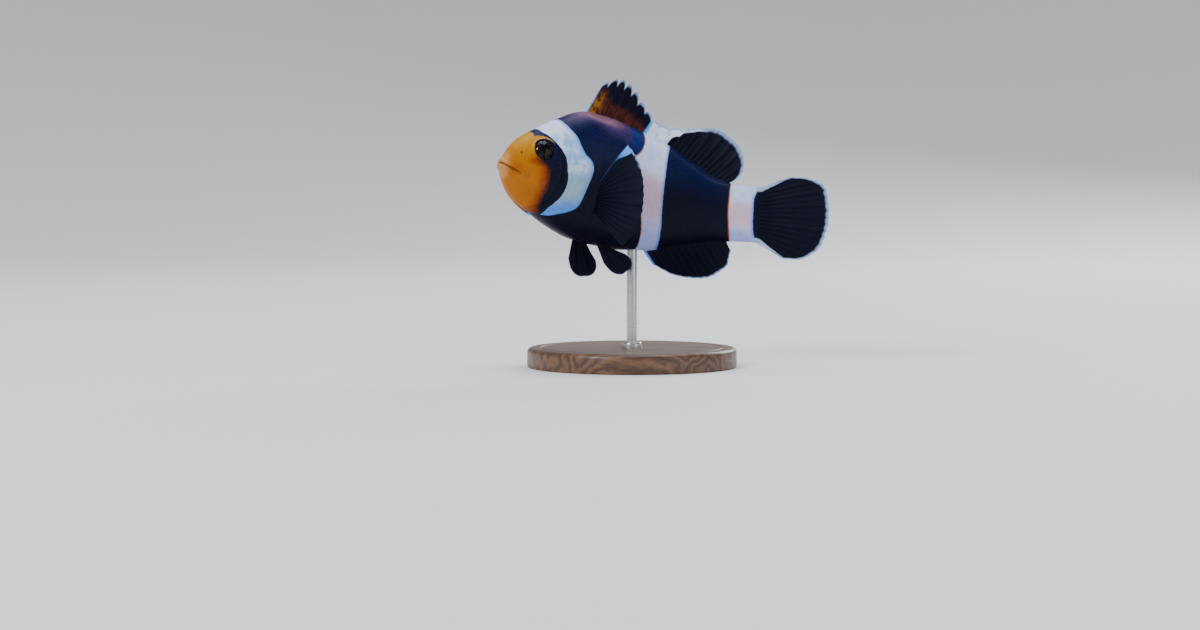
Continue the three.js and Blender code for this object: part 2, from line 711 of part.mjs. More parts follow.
addNode("pelvic_fin_left", pelvicFin(1, 0.425, -36, 14, 11), finishes.finBlack);
addNode("pelvic_fin_right", pelvicFin(-1, 0.388, -71, 20, 9.8), finishes.finBlack);
addNode("stand_base", standBase(), finishes.wood);
addNode("stand_rod", standRod(), finishes.steel);

export default model;
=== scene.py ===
"""A black-and-white clownfish at life size, held by a plain display stand.

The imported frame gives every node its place. One skin stands for the nodes of flesh, with scales laid over it, and
the fins, the eyes and the stand are modelled again, finer, in the places of their nodes. Lengths are in metres.
The fish faces -X and turns its head towards -Y.
"""

import logging
import math
from dataclasses import dataclass, field
from enum import Enum
from functools import cached_property

import bpy
import numpy as np
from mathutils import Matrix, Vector


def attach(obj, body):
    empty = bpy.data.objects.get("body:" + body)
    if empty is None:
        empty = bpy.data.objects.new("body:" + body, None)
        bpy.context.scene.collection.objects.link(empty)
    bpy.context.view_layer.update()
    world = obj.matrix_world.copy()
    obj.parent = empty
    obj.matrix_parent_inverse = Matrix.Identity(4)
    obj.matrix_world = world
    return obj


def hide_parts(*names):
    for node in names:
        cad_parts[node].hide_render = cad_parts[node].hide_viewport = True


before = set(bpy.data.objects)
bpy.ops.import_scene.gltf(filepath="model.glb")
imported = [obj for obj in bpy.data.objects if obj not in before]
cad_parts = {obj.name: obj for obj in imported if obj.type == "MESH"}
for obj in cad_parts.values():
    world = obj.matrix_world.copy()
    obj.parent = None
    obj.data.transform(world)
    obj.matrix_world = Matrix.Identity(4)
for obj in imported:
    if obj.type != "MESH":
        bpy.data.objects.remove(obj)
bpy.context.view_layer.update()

log = logging.getLogger("clownfish")
Array = np.ndarray
Number = Array | float
Stations = tuple[tuple[float, float], ...]
Colour = tuple[float, float, float]
Piece, Material, Node, Socket = bpy.types.Object, bpy.types.Material, bpy.types.Node, bpy.types.NodeSocket

MM = 0.001
ROUND = 2 * math.pi
BODY = "root"
BAKE_MAP = "OFBake"
SEED = 20

BODY_LENGTH = 72 * MM  # tip of the snout to the root of the tail fin, along the spine
TAIL_END = 1.034  # where the flesh has thinned to the roots of the tail fin's rays, in body lengths
GAP = 0.3 * MM  # between a fin's root and the skin in the frame
COAT_DEPTH = 0.13 * MM  # how far the skin lies under the outside of the scales
OUTSIDE = -5 * MM  # well outside a marking
FLESH = ("snout", "head", "head_band", "shoulder", "middle_band", "flank", "tail_stalk")


# ==== Numbers and curves ====


def mix(a: Number, b: Number, share: Number) -> Number:
    """The value a share of the way from a to b."""
    return a + (b - a) * share


def smooth(low: float, high: float, value: Number) -> Number:
    """A soft step from 0 at low to 1 at high, where high may be the smaller."""
    t = np.clip((value - low) / (high - low), 0.0, 1.0)
    return t * t * (3 - 2 * t)


def hump(value: Number, centre: Number, width: Number) -> Number:
    """A bell curve of height 1."""
    return np.exp(-(((value - centre) / width) ** 2))


def smaller(a: Array, b: Array, blend: float) -> Array:
    """The smaller of two values, with the corner between them rounded over a blend."""
    t = np.clip(0.5 + 0.5 * (b - a) / blend, 0.0, 1.0)
    return mix(b, a, t) - blend * t * (1 - t)


def unit(vectors: Array) -> Array:
    """The vectors at length 1."""
    return vectors / np.maximum(np.linalg.norm(vectors, axis=-1, keepdims=True), 1e-12)


def folded(angle: Array) -> Array:
    """An angle round the section in degrees above the widest place, the same on both sides."""
    return np.degrees(np.arcsin(np.clip(np.sin(angle), -1, 1)))


@dataclass(frozen=True)
class SmoothCurve:
    """A smooth curve through (place, value) stations that doesn't overshoot between them."""

    stations: Stations
    rounded: bool = False  # runs through the square roots of the places, which rounds the snout

    def __call__(self, place: Number) -> Array:
        """The curve's value.

        Args:
            place: Where along the curve, in the stations' own units.

        Returns:
            The value there, held at the ends.
        """
        xs, ys = np.array(self.stations, float).T
        x = np.asarray(place, float)
        if self.rounded:
            xs, x = np.sqrt(xs), np.sqrt(np.maximum(x, 0))
        slopes = np.diff(ys) / np.diff(xs)
        product = slopes[:-1] * slopes[1:]
        total = slopes[:-1] + slopes[1:]
        inner = np.where(product > 0, 2 * product / np.where(total == 0, 1, total), 0)
        tangents = np.concatenate([slopes[:1], inner, slopes[-1:]])
        i = np.clip(np.searchsorted(xs, x, side="left") - 1, 0, len(xs) - 2)
        h = xs[i + 1] - xs[i]
        t = np.clip((x - xs[i]) / h, 0, 1)
        near = ys[i] * (1 + 2 * t) * (1 - t) ** 2 + tangents[i] * h * t * (1 - t) ** 2
        return near + ys[i + 1] * t * t * (3 - 2 * t) + tangents[i + 1] * h * t * t * (t - 1)


# ==== The body's form ====


@dataclass
class Spine:
    """The bent line that the body is wrapped round, with the directions along it, left and up. Angles in degrees."""

    head_turn: float = 38.0
    tail_turn: float = -12.0
    turn_span: tuple[float, float] = (0.22, 0.98)
    head_pitch: float = 9.0
    body_pitch: float = 12.5
    tail_pitch: float = 3.0
    neck_span: tuple[float, float] = (0.1, 0.4)
    tail_span: tuple[float, float] = (0.72, 1.06)
    step: float = 0.25 * MM
    reach: float = 110 * MM

    def __post_init__(self) -> None:
        """Lays the spine out as a table of evenly spaced places."""
        places = np.arange(0, self.reach + self.step / 2, self.step)
        self.along = self.axes(places)[0]
        self.table = np.concatenate([np.zeros((1, 3)), np.cumsum(self.along * self.step, axis=0)[:-1]])

    def axes(self, distance: Array) -> tuple[Array, Array, Array]:
        """The spine's directions.

        Args:
            distance: From the snout, along the spine.

        Returns:
            The directions to the tail, to the fish's left, and up.
        """
        share = distance / BODY_LENGTH
        turn = np.radians(mix(self.head_turn, self.tail_turn, smooth(*self.turn_span, share)))
        front = mix(self.head_pitch, self.body_pitch, smooth(*self.neck_span, share))
        pitch = np.radians(mix(front, self.tail_pitch, smooth(*self.tail_span, share)))
        along = np.stack([np.cos(turn) * np.cos(pitch), np.sin(turn) * np.cos(pitch), -np.sin(pitch)], -1)
        left = np.stack([np.sin(turn), -np.cos(turn), np.zeros_like(turn)], -1)
        return along, left, np.cross(left, along)

    def beside(self, distance: Array, left: Array, up: Array) -> Array:
        """The points beside the spine.

        Args:
            distance: From the snout, along the spine.
            left: How far to the fish's left.
            up: How far above the spine.

        Returns:
            The points, with the snout at the origin.
        """
        distance, left, up = np.broadcast_arrays(np.asarray(distance, float), left, up)
        i = np.clip(np.floor(distance / self.step).astype(int), 0, len(self.table) - 2)
        rest = (distance - i * self.step)[..., None]
        _, to_left, upward = self.axes(distance)
        return self.table[i] + self.along[i] * rest + to_left * left[..., None] + upward * up[..., None]


@dataclass
class BodyForm:
    """The plain body without its fins: sections of changing height and width along the spine."""

    spine: Spine = field(default_factory=Spine)
    back: SmoothCurve = SmoothCurve(
        ((0, 0), (0.02, 0.04), (0.045, 0.076), (0.075, 0.104), (0.13, 0.14), (0.22, 0.194), (0.32, 0.238),
         (0.42, 0.236), (0.55, 0.212), (0.65, 0.188), (0.75, 0.148), (0.88, 0.104), (1, 0.1)), rounded=True)
    belly: SmoothCurve = SmoothCurve(
        ((0, 0), (0.02, -0.058), (0.08, -0.123), (0.17, -0.162), (0.27, -0.197), (0.36, -0.214),
         (0.5, -0.216), (0.64, -0.192), (0.76, -0.148), (0.88, -0.108), (1, -0.1)), rounded=True)
    half_width: SmoothCurve = SmoothCurve(
        ((0, 0), (0.02, 0.032), (0.07, 0.063), (0.14, 0.087), (0.24, 0.104), (0.36, 0.11), (0.5, 0.102),
         (0.65, 0.08), (0.8, 0.052), (0.92, 0.032), (1, 0.021), (TAIL_END, 0.0095)), rounded=True)
    fullness: float = 0.9
    rod_place: float = 0.6
    rod_top: float = 30 * MM
    probe: tuple[float, float] = (0.02 * MM, 0.004)  # steps along and round, to find the skin's slope

    def __post_init__(self) -> None:
        """Hangs the body so that its belly meets the top of the stand's rod."""
        self.hang = np.zeros(3)
        belly = self.point(np.array(self.rod_place * BODY_LENGTH), np.array(-math.pi / 2))
        self.hang = np.array([0, 0, self.rod_top]) - belly

    def heights(self, distance: Array) -> tuple[Array, Array]:
        """How far the back and the belly lie above the spine."""
        share = distance / BODY_LENGTH
        return self.back(share) * BODY_LENGTH, self.belly(share) * BODY_LENGTH

    def section(self, distance: Array, angle: Array, grow: Number = 0.0) -> tuple[Array, Array]:
        """A section's offsets to the left and up.

        Args:
            distance: From the snout, along the spine.
            angle: Round the section, in radians, from the left flank upwards.
            grow: How far outside the plain body.

        Returns:
            The offsets to the left and up.
        """
        top, bottom = self.heights(distance)
        across = np.cos(angle)
        width = self.half_width(distance / BODY_LENGTH) * BODY_LENGTH + grow
        left = width * np.sign(across) * np.abs(across) ** self.fullness
        return left, (top + bottom) / 2 + ((top - bottom) / 2 + grow) * np.sin(angle)

    def beside(self, distance: Array, left: Array, up: Array) -> Array:
        """The points beside the spine, in the object's frame."""
        return self.spine.beside(distance, left, up) + self.hang

    def point(self, distance: Array, angle: Array) -> Array:
        """The points on the plain body."""
        return self.beside(distance, *self.section(distance, angle))

    def normal(self, distance: Array, angle: Array) -> Array:
        """The directions straight out of the plain body.

        Args:
            distance: From the snout, along the spine.
            angle: Round the section, in radians.

        Returns:
            The directions, of length 1.
        """
        ahead, turn = self.probe
        before = np.maximum(distance - ahead, 1e-9)
        along = self.point(distance + ahead, angle) - self.point(before, angle)
        around = self.point(distance, angle + turn) - self.point(distance, angle - turn)
        return unit(np.cross(along, around))

    def perimeter(self, distance: Array) -> Array:
        """The length round a section.

        Args:
            distance: From the snout, along the spine.

        Returns:
            The length, as round an ellipse.
        """
        top, bottom = self.heights(distance)
        a, b = (top - bottom) / 2, self.half_width(distance / BODY_LENGTH) * BODY_LENGTH
        return math.pi * (3 * (a + b) - np.sqrt((3 * a + b) * (a + 3 * b)))


@dataclass
class Places:
    """Places on the body, with what the markings and the relief read of them."""

    form: BodyForm
    distance: Array  # from the snout, along the spine
    angle: Array  # round the section, in radians, from the left flank upwards

    @cached_property
    def share(self) -> Array:
        """How far along the body, as a share of its length."""
        return self.distance / BODY_LENGTH

    @cached_property
    def low(self) -> Array:
        """How far round the section, in degrees above the widest place, the same on both sides."""
        return folded(self.angle)

    @cached_property
    def height(self) -> Array:
        """How high above the spine, as a share of the body's length."""
        return self.form.section(self.distance, self.angle)[1] / BODY_LENGTH

    def mirrored(self) -> Array:
        """The points of the plain body, with those of the right side taken to the left side."""
        return self.form.point(self.distance, np.radians(self.low))

    def raised(self, out: Array) -> Array:
        """The points a height straight outside the plain body."""
        normal = self.form.normal(self.distance, self.angle)
        return self.form.point(self.distance, self.angle) + normal * out[..., None]


@dataclass
class Markings:
    """Where the colours lie on the body. Edges are (height, way along the body), as shares of its length."""

    form: BodyForm
    mask: SmoothCurve = SmoothCurve(
        ((-0.2, 0.185), (-0.155, 0.168), (-0.13, 0.152), (-0.105, 0.151), (-0.07, 0.158), (-0.03, 0.158),
         (0, 0.153), (0.03, 0.12), (0.07, 0.098), (0.12, 0.105), (0.2, 0.11)))
    head_front: SmoothCurve = SmoothCurve(
        ((-0.2, 0.176), (-0.15, 0.173), (-0.13, 0.18), (-0.11, 0.197), (-0.09, 0.211), (-0.06, 0.222),
         (-0.03, 0.225), (0.01, 0.218), (0.045, 0.209), (0.07, 0.194), (0.1, 0.168), (0.12, 0.147),
         (0.13, 0.132), (0.2, 0.118)))
    head_rear: SmoothCurve = SmoothCurve(
        ((-0.2, 0.2), (-0.165, 0.2), (-0.15, 0.212), (-0.134, 0.25), (-0.12, 0.277), (-0.107, 0.291),
         (-0.09, 0.296), (-0.04, 0.306), (0.03, 0.32), (0.06, 0.308), (0.08, 0.28), (0.13, 0.25),
         (0.18, 0.212), (0.24, 0.2)))
    middle_front: SmoothCurve = SmoothCurve(
        ((-0.24, 0.605), (-0.17, 0.609), (-0.14, 0.606), (-0.109, 0.597), (-0.075, 0.584), (-0.045, 0.558),
         (0, 0.515), (0.05, 0.482), (0.11, 0.502), (0.15, 0.537), (0.18, 0.547), (0.24, 0.55)))
    middle_rear: SmoothCurve = SmoothCurve(
        ((-0.24, 0.684), (-0.16, 0.686), (-0.11, 0.682), (-0.05, 0.67), (0.06, 0.654), (0.14, 0.649),
         (0.24, 0.658)))
    tail_front: SmoothCurve = SmoothCurve(
        ((-0.12, 0.928), (-0.045, 0.92), (0.01, 0.913), (0.05, 0.911), (0.12, 0.906)))
    tail_rear: SmoothCurve = SmoothCurve(
        ((-0.12, 1.06), (-0.1, 1.04), (-0.09, 1.016), (-0.055, 1.0057), (0, 1.0027), (0.051, 1.002),
         (0.077, 1.01), (0.09, 1.02), (0.1, 1.045), (0.12, 1.06)))
    throat: SmoothCurve = SmoothCurve(  # the gill cover's edge below, as (degrees, way along the body)
        ((-90, 0.14), (-78, 0.155), (-68, 0.178), (-62, 0.1966), (-54, 0.2215), (-45.5, 0.2506), (-39, 0.278),
         (-34.7, 0.2915), (-25, 0.33), (0, 0.6)))
    throat_blend: float = 1.0 * MM
    slope_step: float = 0.004  # of the height, to find an edge's slope
    chin_middle: tuple[float, float] = (0.16, -72)  # the tip of the right head band, along and in degrees
    chin_size: tuple[float, float] = (0.026, 15)
    chin_reach: float = 1.5 * MM
    brow_middle: tuple[float, float] = (0.131, 0.066)  # along and up, as shares of the length
    brow_radius: float = 3.1 * MM
    brow_half: tuple[float, float] = (0.16 * MM, 0.5 * MM)  # half of the line's width, in front and behind

    def __post_init__(self) -> None:
        """Lays out the rear edge of the gill cover as a table, from the throat to the back."""
        self.gill_angles = np.linspace(-90, 90, 361)
        rear = self.crossing(self.head_rear, np.radians(self.gill_angles))
        self.gill_table = smaller(rear, self.throat(self.gill_angles) * BODY_LENGTH, self.throat_blend)

    def past(self, edge: SmoothCurve, at: Places) -> Array:
        """How far places lie behind an edge, square to it.

        Args:
            edge: The edge.
            at: The places.

        Returns:
            The distances, below 0 in front of the edge.
        """
        step = self.slope_step
        slope = (edge(at.height + step) - edge(at.height - step)) / (2 * step)
        return (at.distance - edge(at.height) * BODY_LENGTH) / np.sqrt(1 + slope**2)

    def crossing(self, edge: SmoothCurve, angle: Array) -> Array:
        """How far along the body an edge crosses the skin.

        Args:
            edge: The edge.
            angle: Round the section, in radians.

        Returns:
            The distances from the snout, found by steps towards the crossing.
        """
        distance = np.full(np.shape(angle), float(edge(0.0))) * BODY_LENGTH
        for _ in range(40):
            height = self.form.section(distance, angle)[1] / BODY_LENGTH
            distance = mix(distance, edge(height) * BODY_LENGTH, 0.4)
        return distance

    def gill_edge(self, angle: Array) -> Array:
        """How far along the body the rear edge of the gill cover lies at an angle."""
        return np.interp(folded(angle), self.gill_angles, self.gill_table)

    def values(self, at: Places) -> dict[str, Array]:
        """The attributes that the finishes read.

        Args:
            at: The places.

        Returns:
            For each attribute its value at each place: how far inside the mask and the white bands it lies, how
            near a band's rusty front line and its blue rear line, in millimetres, how far along the body and how
            high, as shares, and how much of the back's brownish tinge, with the painted highlight on top, lies there,
            from 0 to 1.
        """
        gill = self.gill_edge(at.angle) - at.distance
        fronts = [self.past(edge, at) for edge in (self.head_front, self.middle_front, self.tail_front)]
        rears = [-self.past(edge, at) for edge in (self.head_rear, self.middle_rear, self.tail_rear)]
        rears[0] = np.minimum(rears[0], gill)
        bands = [np.minimum(front, rear) for front, rear in zip(fronts, rears)]
        tip = self.chin_tip(at)
        bands[0] = np.maximum(bands[0], tip)
        mask = np.maximum(np.minimum(-self.past(self.mask, at), gill), self.brow(at))
        # the back's brownish tinge, with a painted highlight on the top of the back where light from above falls
        shoulder = hump(at.share, 0.34, 0.1) * smooth(48, 78, at.low)
        saddle = hump(at.share, 0.44, 0.12) * smooth(25, 60, at.low)
        return {
            "mask": np.minimum(mask, -tip) / MM,
            "white": np.max(bands, axis=0) / MM,
            "front_line": -np.minimum(np.abs(fronts[1]), np.abs(fronts[2])) / MM,
            "rear_line": np.maximum.reduce([-np.abs(r) for r in rears]) / MM,
            "along": at.share,
            "height": at.height,
            "brown_and_highlight": np.clip(shoulder + 0.43 * saddle, 0, 1),
        }

    def chin_tip(self, at: Places) -> Array:
        """How far inside the tip of the right head band places lie, under the chin.

        Args:
            at: The places.

        Returns:
            The distances, below 0 outside the tip.
        """
        along, low = ((value - middle) / size for value, middle, size in zip(
            (at.share, at.low), self.chin_middle, self.chin_size))
        return np.where(np.cos(at.angle) < 0, self.chin_reach * (1 - np.hypot(along, low)), OUTSIDE)

    def brow(self, at: Places) -> Array:
        """How far inside the thin orange line over the eye places lie.

        Args:
            at: The places.

        Returns:
            The distances, below 0 outside the line.
        """
        across, up = ((value - middle) * BODY_LENGTH for value, middle in zip((at.share, at.height), self.brow_middle))
        bearing = np.degrees(np.arctan2(up, across))
        width = mix(*self.brow_half, smooth(45, 130, bearing))
        ends = smooth(32, 50, bearing) * smooth(175, 150, bearing)
        return np.where(ends > 0, width * ends - np.abs(np.hypot(across, up) - self.brow_radius), OUTSIDE)


@dataclass
class HeadRelief:
    """What stands out of the plain body: lips, nostrils, orbits, cheeks, gill covers and the roots of fins."""

    form: BodyForm
    marks: Markings
    mouth_angle: float = -12.0
    mouth_reach: float = 0.06 * BODY_LENGTH
    mouth_bend: float = 2.0 * MM  # how wide the middle of the mouth is rounded
    mouth_depth: float = 0.75 * MM
    lip_width: float = 1.15  # in millimetres
    lip_height: float = 0.38 * MM
    corner_depth: float = 0.2 * MM
    jaw_fold: tuple[float, float, float] = (6.3, 0.32, 0.11 * MM)  # behind the snout, width, in millimetres, depth
    nostril_place: float = 0.055
    nostril_angle: float = 34.0
    nostril_rim: float = 0.13 * MM
    nostril_depth: float = 0.45 * MM
    eye_place: float = 0.129
    eye_angle: float = 29.0
    eye_radius: float = 2.55 * MM
    orbit_rim: float = 0.17 * MM
    orbit_crease: float = 0.07 * MM
    socket_depth: float = 1.0 * MM
    socket_reach: float = 3 * MM  # how far under the skin the orbit is felt
    cheek_edge: SmoothCurve = SmoothCurve(
        ((-0.14, 0.12), (-0.11, 0.165), (-0.06, 0.193), (0, 0.2), (0.05, 0.192), (0.08, 0.18)))
    under_eye: SmoothCurve = SmoothCurve(((0.05, -0.035), (0.09, -0.012), (0.13, -0.002), (0.17, 0.02)))
    gill_step: float = 0.6 * MM
    gill_top: tuple[float, float, float] = (0.232, 21, 132)  # the cover's upper edge: a place, degrees there, fall
    sunk_share: float = 0.08  # how far the skin behind the cover is sunk, of the cover's height
    sunk_span: tuple[float, float] = (1.6 * MM, 0.3 * MM)
    root_height: float = 0.3 * MM
    arm_height: float = 0.32 * MM

    def __post_init__(self) -> None:
        """Finds the middles and directions of the eye and the nostril on the left side."""
        self.eye_spot, self.eye_way = self.spot(self.eye_place, self.eye_angle, True)
        self.nostril_spot, _ = self.spot(self.nostril_place, self.nostril_angle, True)

    def spot(self, place: float, degrees: float, left: bool) -> tuple[Array, Array]:
        """A place on one side of the head.

        Args:
            place: Along the body, as a share of its length.
            degrees: Above the widest place.
            left: Whether it is the left side.

        Returns:
            The point and the direction out of the skin there.
        """
        angle = math.radians(degrees if left else 180 - degrees)
        distance, angle = np.array(place * BODY_LENGTH), np.array(angle)
        return self.form.point(distance, angle), self.form.normal(distance, angle)

    def mouth(self, at: Places) -> Array:
        """The lips, the slit between them, and the fold of the jaw behind its corner.

        Args:
            at: The places.

        Returns:
            How far they stand out.
        """
        reach, share = self.mouth_reach, at.distance / self.mouth_reach
        left, up = self.form.section(at.distance, at.angle)
        corner_left, corner_up = self.form.section(np.array(reach), np.radians(self.mouth_angle))
        bend, whole = (np.hypot(x, self.mouth_bend) - self.mouth_bend for x in (left, corner_left))
        above = (up - corner_up * bend / whole) / MM
        away = np.hypot(above, 0.75 * np.maximum(at.distance - 0.92 * reach, 0) / MM)
        width = self.lip_width * mix(1, 1.15, smooth(0, 1, share))
        strong = mix(1.0, 0.45, smooth(0.2, 1.1, share))
        lip = np.sin(math.pi * np.clip(away / width, 0, 1)) ** 2 * np.where(above < 0, 1.1, 0.95)
        behind = 0.32 * hump(away, 1.28 * width, 0.3)
        slit = hump(above, 0, 0.12) * (1 - smooth(0.72, 1.0, share))
        corner = hump(away, 0, 0.3) * hump(at.distance, reach, 0.35 * MM)
        fold_place, fold_width, fold_depth = self.jaw_fold
        fold = hump(at.distance / MM, fold_place + 0.35 * above, fold_width)
        fold = fold * smooth(-2.8, -1.2, above) * smooth(2.6, 0.6, above)
        relief = strong * self.lip_height * (lip - behind) - self.mouth_depth * slit
        return relief - self.corner_depth * corner - fold_depth * fold

    def from_eye(self, points: Array) -> tuple[Array, Array]:
        """How points lie to the left eye.

        Args:
            points: The points.

        Returns:
            How far out along the eye's axis, and how far from the axis.
        """
        offset = points - self.eye_spot
        depth = offset @ self.eye_way
        return depth, np.linalg.norm(offset - depth[..., None] * self.eye_way, axis=-1)

    def orbit(self, points: Array) -> Array:
        """The rim round the eye and the socket under it.

        Args:
            points: The points, taken to the left side.

        Returns:
            How far they stand out.
        """
        depth, away = self.from_eye(points)
        past = away - self.eye_radius
        rim = self.orbit_rim * hump(past, 0.2 * MM, 0.3 * MM)
        crease = self.orbit_crease * hump(past, 1.0 * MM, 0.28 * MM)
        socket = self.socket_depth * smooth(0.06 * MM, -0.35 * MM, past)
        return np.where(depth > -self.socket_reach, rim - crease - socket, 0)

    def nostril(self, points: Array) -> Array:
        """A nostril's low rim and its hole."""
        away = np.linalg.norm(points - self.nostril_spot, axis=-1) / MM
        return self.nostril_rim * hump(away, 0.5, 0.16) - self.nostril_depth * np.exp(-((away / 0.3) ** 4))

    def cheek(self, at: Places) -> Array:
        """The bones of the cheek: the preopercle's edge behind the eye, and the crease under the eye.

        Args:
            at: The places.

        Returns:
            How far they stand out.
        """
        behind = (at.distance - self.cheek_edge(at.height) * BODY_LENGTH) / MM
        ends = smooth(-0.145, -0.12, at.height) * smooth(0.075, 0.05, at.height)
        plate = 0.09 * smooth(-2.6, -0.4, behind) * smooth(0.1, -0.1, behind)
        groove = 0.2 * hump(behind, 0.15, 0.26)
        crease = 0.1 * hump((at.height - self.under_eye(at.share)) * BODY_LENGTH / MM, 0, 0.34)
        span = smooth(0.07, 0.09, at.share) * smooth(0.185, 0.165, at.share)
        return ((plate - groove) * ends - crease * span) * MM

    def gill_cover(self, at: Places, gill: Array) -> Array:
        """How far the gill cover stands out: a plate that rises to its upper and rear edges.

        Args:
            at: The places.
            gill: How far along the body its rear edge lies.

        Returns:
            How far it stands out.
        """
        place, degrees, fall = self.gill_top
        under_top = 1 - smooth(-3.5, 3.5, at.low - (degrees - (at.share - place) * fall))
        rise = smooth(-7.5, -0.8, (at.distance - gill) / MM)
        throat = smooth(-90, -82, at.low) * mix(0.5, 1.0, smooth(-80, -55, at.low))
        return self.gill_step * under_top * rise * throat

    def roots(self, at: Places) -> Array:
        """The flesh at the roots of the fins.

        Args:
            at: The places.

        Returns:
            How far it stands out.
        """
        low, share = at.low, at.share
        arm = self.arm_height * hump(share, 0.36, 0.024) * hump(low, -18, 17)
        back = hump(low, 90, 6) * smooth(0.3, 0.34, share) * smooth(0.92, 0.87, share)
        belly = hump(low, -90, 6) * smooth(0.61, 0.65, share) * smooth(0.94, 0.9, share)
        pelvic = hump(share, 0.42, 0.03) * hump(low, -72, 12)
        return arm + self.root_height * (back + belly + pelvic)

    def front(self, at: Places, gill: Array) -> Array:
        """The relief in front of the gill opening.

        Args:
            at: The places.
            gill: How far along the body the gill cover's rear edge lies.

        Returns:
            How far it stands out.
        """
        points = at.mirrored()
        head = self.mouth(at) + self.orbit(points) + self.nostril(points)
        return head + self.cheek(at) + self.gill_cover(at, gill)

    def rear(self, at: Places, gill: Array) -> Array:
        """The relief behind the gill opening, which starts a little lower under the gill cover's edge.

        Args:
            at: The places.
            gill: How far along the body the gill cover's rear edge lies.

        Returns:
            How far it stands out.
        """
        cover = self.gill_cover(Places(self.form, gill, at.angle), gill)
        return self.roots(at) - self.sunk_share * smooth(*self.sunk_span, at.distance - gill) * cover


# ==== Making pieces ====


def added(name: str, data: bpy.types.ID) -> Piece:
    """A new object in the scene.

    Args:
        name: Its name.
        data: Its mesh, light or camera.

    Returns:
        The object.
    """
    made = bpy.data.objects.new(name, data)
    bpy.context.scene.collection.objects.link(made)
    return made


def new_piece(name: str, points: Array, faces: list[Array], values: dict[str, Array]) -> Piece:
    """A mesh object from points worked out by the body's curves.

    Args:
        name: The piece's name.
        points: One row for each vertex.
        faces: Blocks of faces, each an array of rows of vertex numbers.
        values: One number for each vertex and attribute.

    Returns:
        The object, shaded smooth.
    """
    mesh = bpy.data.meshes.new(name)
    sizes = np.concatenate([np.full(len(block), block.shape[1]) for block in faces])
    corners = np.concatenate([block.ravel() for block in faces]).astype(np.int32)
    mesh.vertices.add(len(points))
    mesh.vertices.foreach_set("co", np.asarray(points, np.float32).ravel())
    mesh.loops.add(len(corners))
    mesh.loops.foreach_set("vertex_index", corners)
    mesh.polygons.add(len(sizes))
    mesh.polygons.foreach_set("loop_start", np.concatenate([[0], np.cumsum(sizes)[:-1]]).astype(np.int32))
    mesh.update(calc_edges=True)
    mesh.validate()
    for key, column in values.items():
        layer = mesh.attributes.new(key, "FLOAT", "POINT")
        layer.data.foreach_set("value", np.asarray(column, np.float32).ravel())
    mesh.shade_smooth()
    return added(name, mesh)


def grid_faces(rows: int, columns: int, wrap: bool) -> Array:
    """The quads of a grid of points, row after row.

    Args:
        rows: How many rows of points.
        columns: How many points in a row.
        wrap: Whether each row is joined round.

    Returns:
        Rows of four vertex numbers.
    """
    i, j = np.meshgrid(np.arange(rows - 1), np.arange(columns if wrap else columns - 1), indexing="ij")
    after = (j + 1) % columns
    quads = [i * columns + j, (i + 1) * columns + j, (i + 1) * columns + after, i * columns + after]
    return np.stack(quads, -1).reshape(-1, 4)


def sheet_faces(rows: int, columns: int) -> Array:
    """The quads of a thin closed sheet, whose points are those of its top and then those of its underside.

    Args:
        rows: How many rows of points on each side.
        columns: How many points in a row.

    Returns:
        Rows of four vertex numbers: the top, the underside and the wall round them.
    """
    top, under = grid_faces(rows, columns, False), rows * columns
    grid = np.arange(under).reshape(rows, columns)
    rim = np.concatenate([grid[0, :-1], grid[:-1, -1], grid[-1, :0:-1], grid[:0:-1, 0]])
    after = np.roll(rim, -1)
    return np.concatenate([top, top[:, ::-1] + under, np.stack([rim, after, after + under, rim + under], -1)])


def dress(piece: Piece, material: Material, nodes: tuple[str, ...]) -> None:
    """Gives a piece its finish, hangs it from the body and hides the frame's nodes that it replaces.

    Args:
        piece: The piece.
        material: Its finish.
        nodes: The frame's nodes that it replaces.
    """
    piece.data.materials.clear()
    piece.data.materials.append(material)
    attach(piece, BODY)
    if nodes:
        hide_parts(*nodes)
    log.info("%s: %d faces", piece.name, len(piece.data.polygons))


# ==== Finishes ====


class Value:
    """A number or colour that a node gives, with sums written as for plain numbers."""

    def __init__(self, graph: "Graph", socket: Socket) -> None:
        """Keeps the graph and the socket."""
        self.graph, self.socket = graph, socket

    def __add__(self, other: object) -> "Value":
        """The sum."""
        return self.graph.math("ADD", self, other)

    def __sub__(self, other: object) -> "Value":
        """The difference."""
        return self.graph.math("SUBTRACT", self, other)

    def __rsub__(self, other: float) -> "Value":
        """A plain number less the value."""
        return self.graph.math("SUBTRACT", other, self)

    def __mul__(self, other: object) -> "Value":
        """The product."""
        return self.graph.math("MULTIPLY", self, other)

    def __abs__(self) -> "Value":
        """The value without its sign."""
        return self.graph.math("ABSOLUTE", self)

    def fraction(self) -> "Value":
        """What is left of the value past a whole number."""
        return self.graph.math("FRACT", self)

    def swing(self, strength: float) -> "Value":
        """Noise as a number that swings about 0."""
        return (self - 0.5) * strength

    def step(self, low: float, high: float) -> "Value":
        """A soft step from 0 at low to 1 at high, where high may be the smaller.

        Args:
            low: Where the step starts.
            high: Where it ends.

        Returns:
            The step.
        """
        made = self.graph.node("ShaderNodeMapRange", interpolation_type="SMOOTHSTEP")
        self.graph.feeds(made, {"Value": self, "From Min": min(low, high), "From Max": max(low, high)})
        rising = Value(self.graph, made.outputs[0])
        return rising if low < high else 1.0 - rising


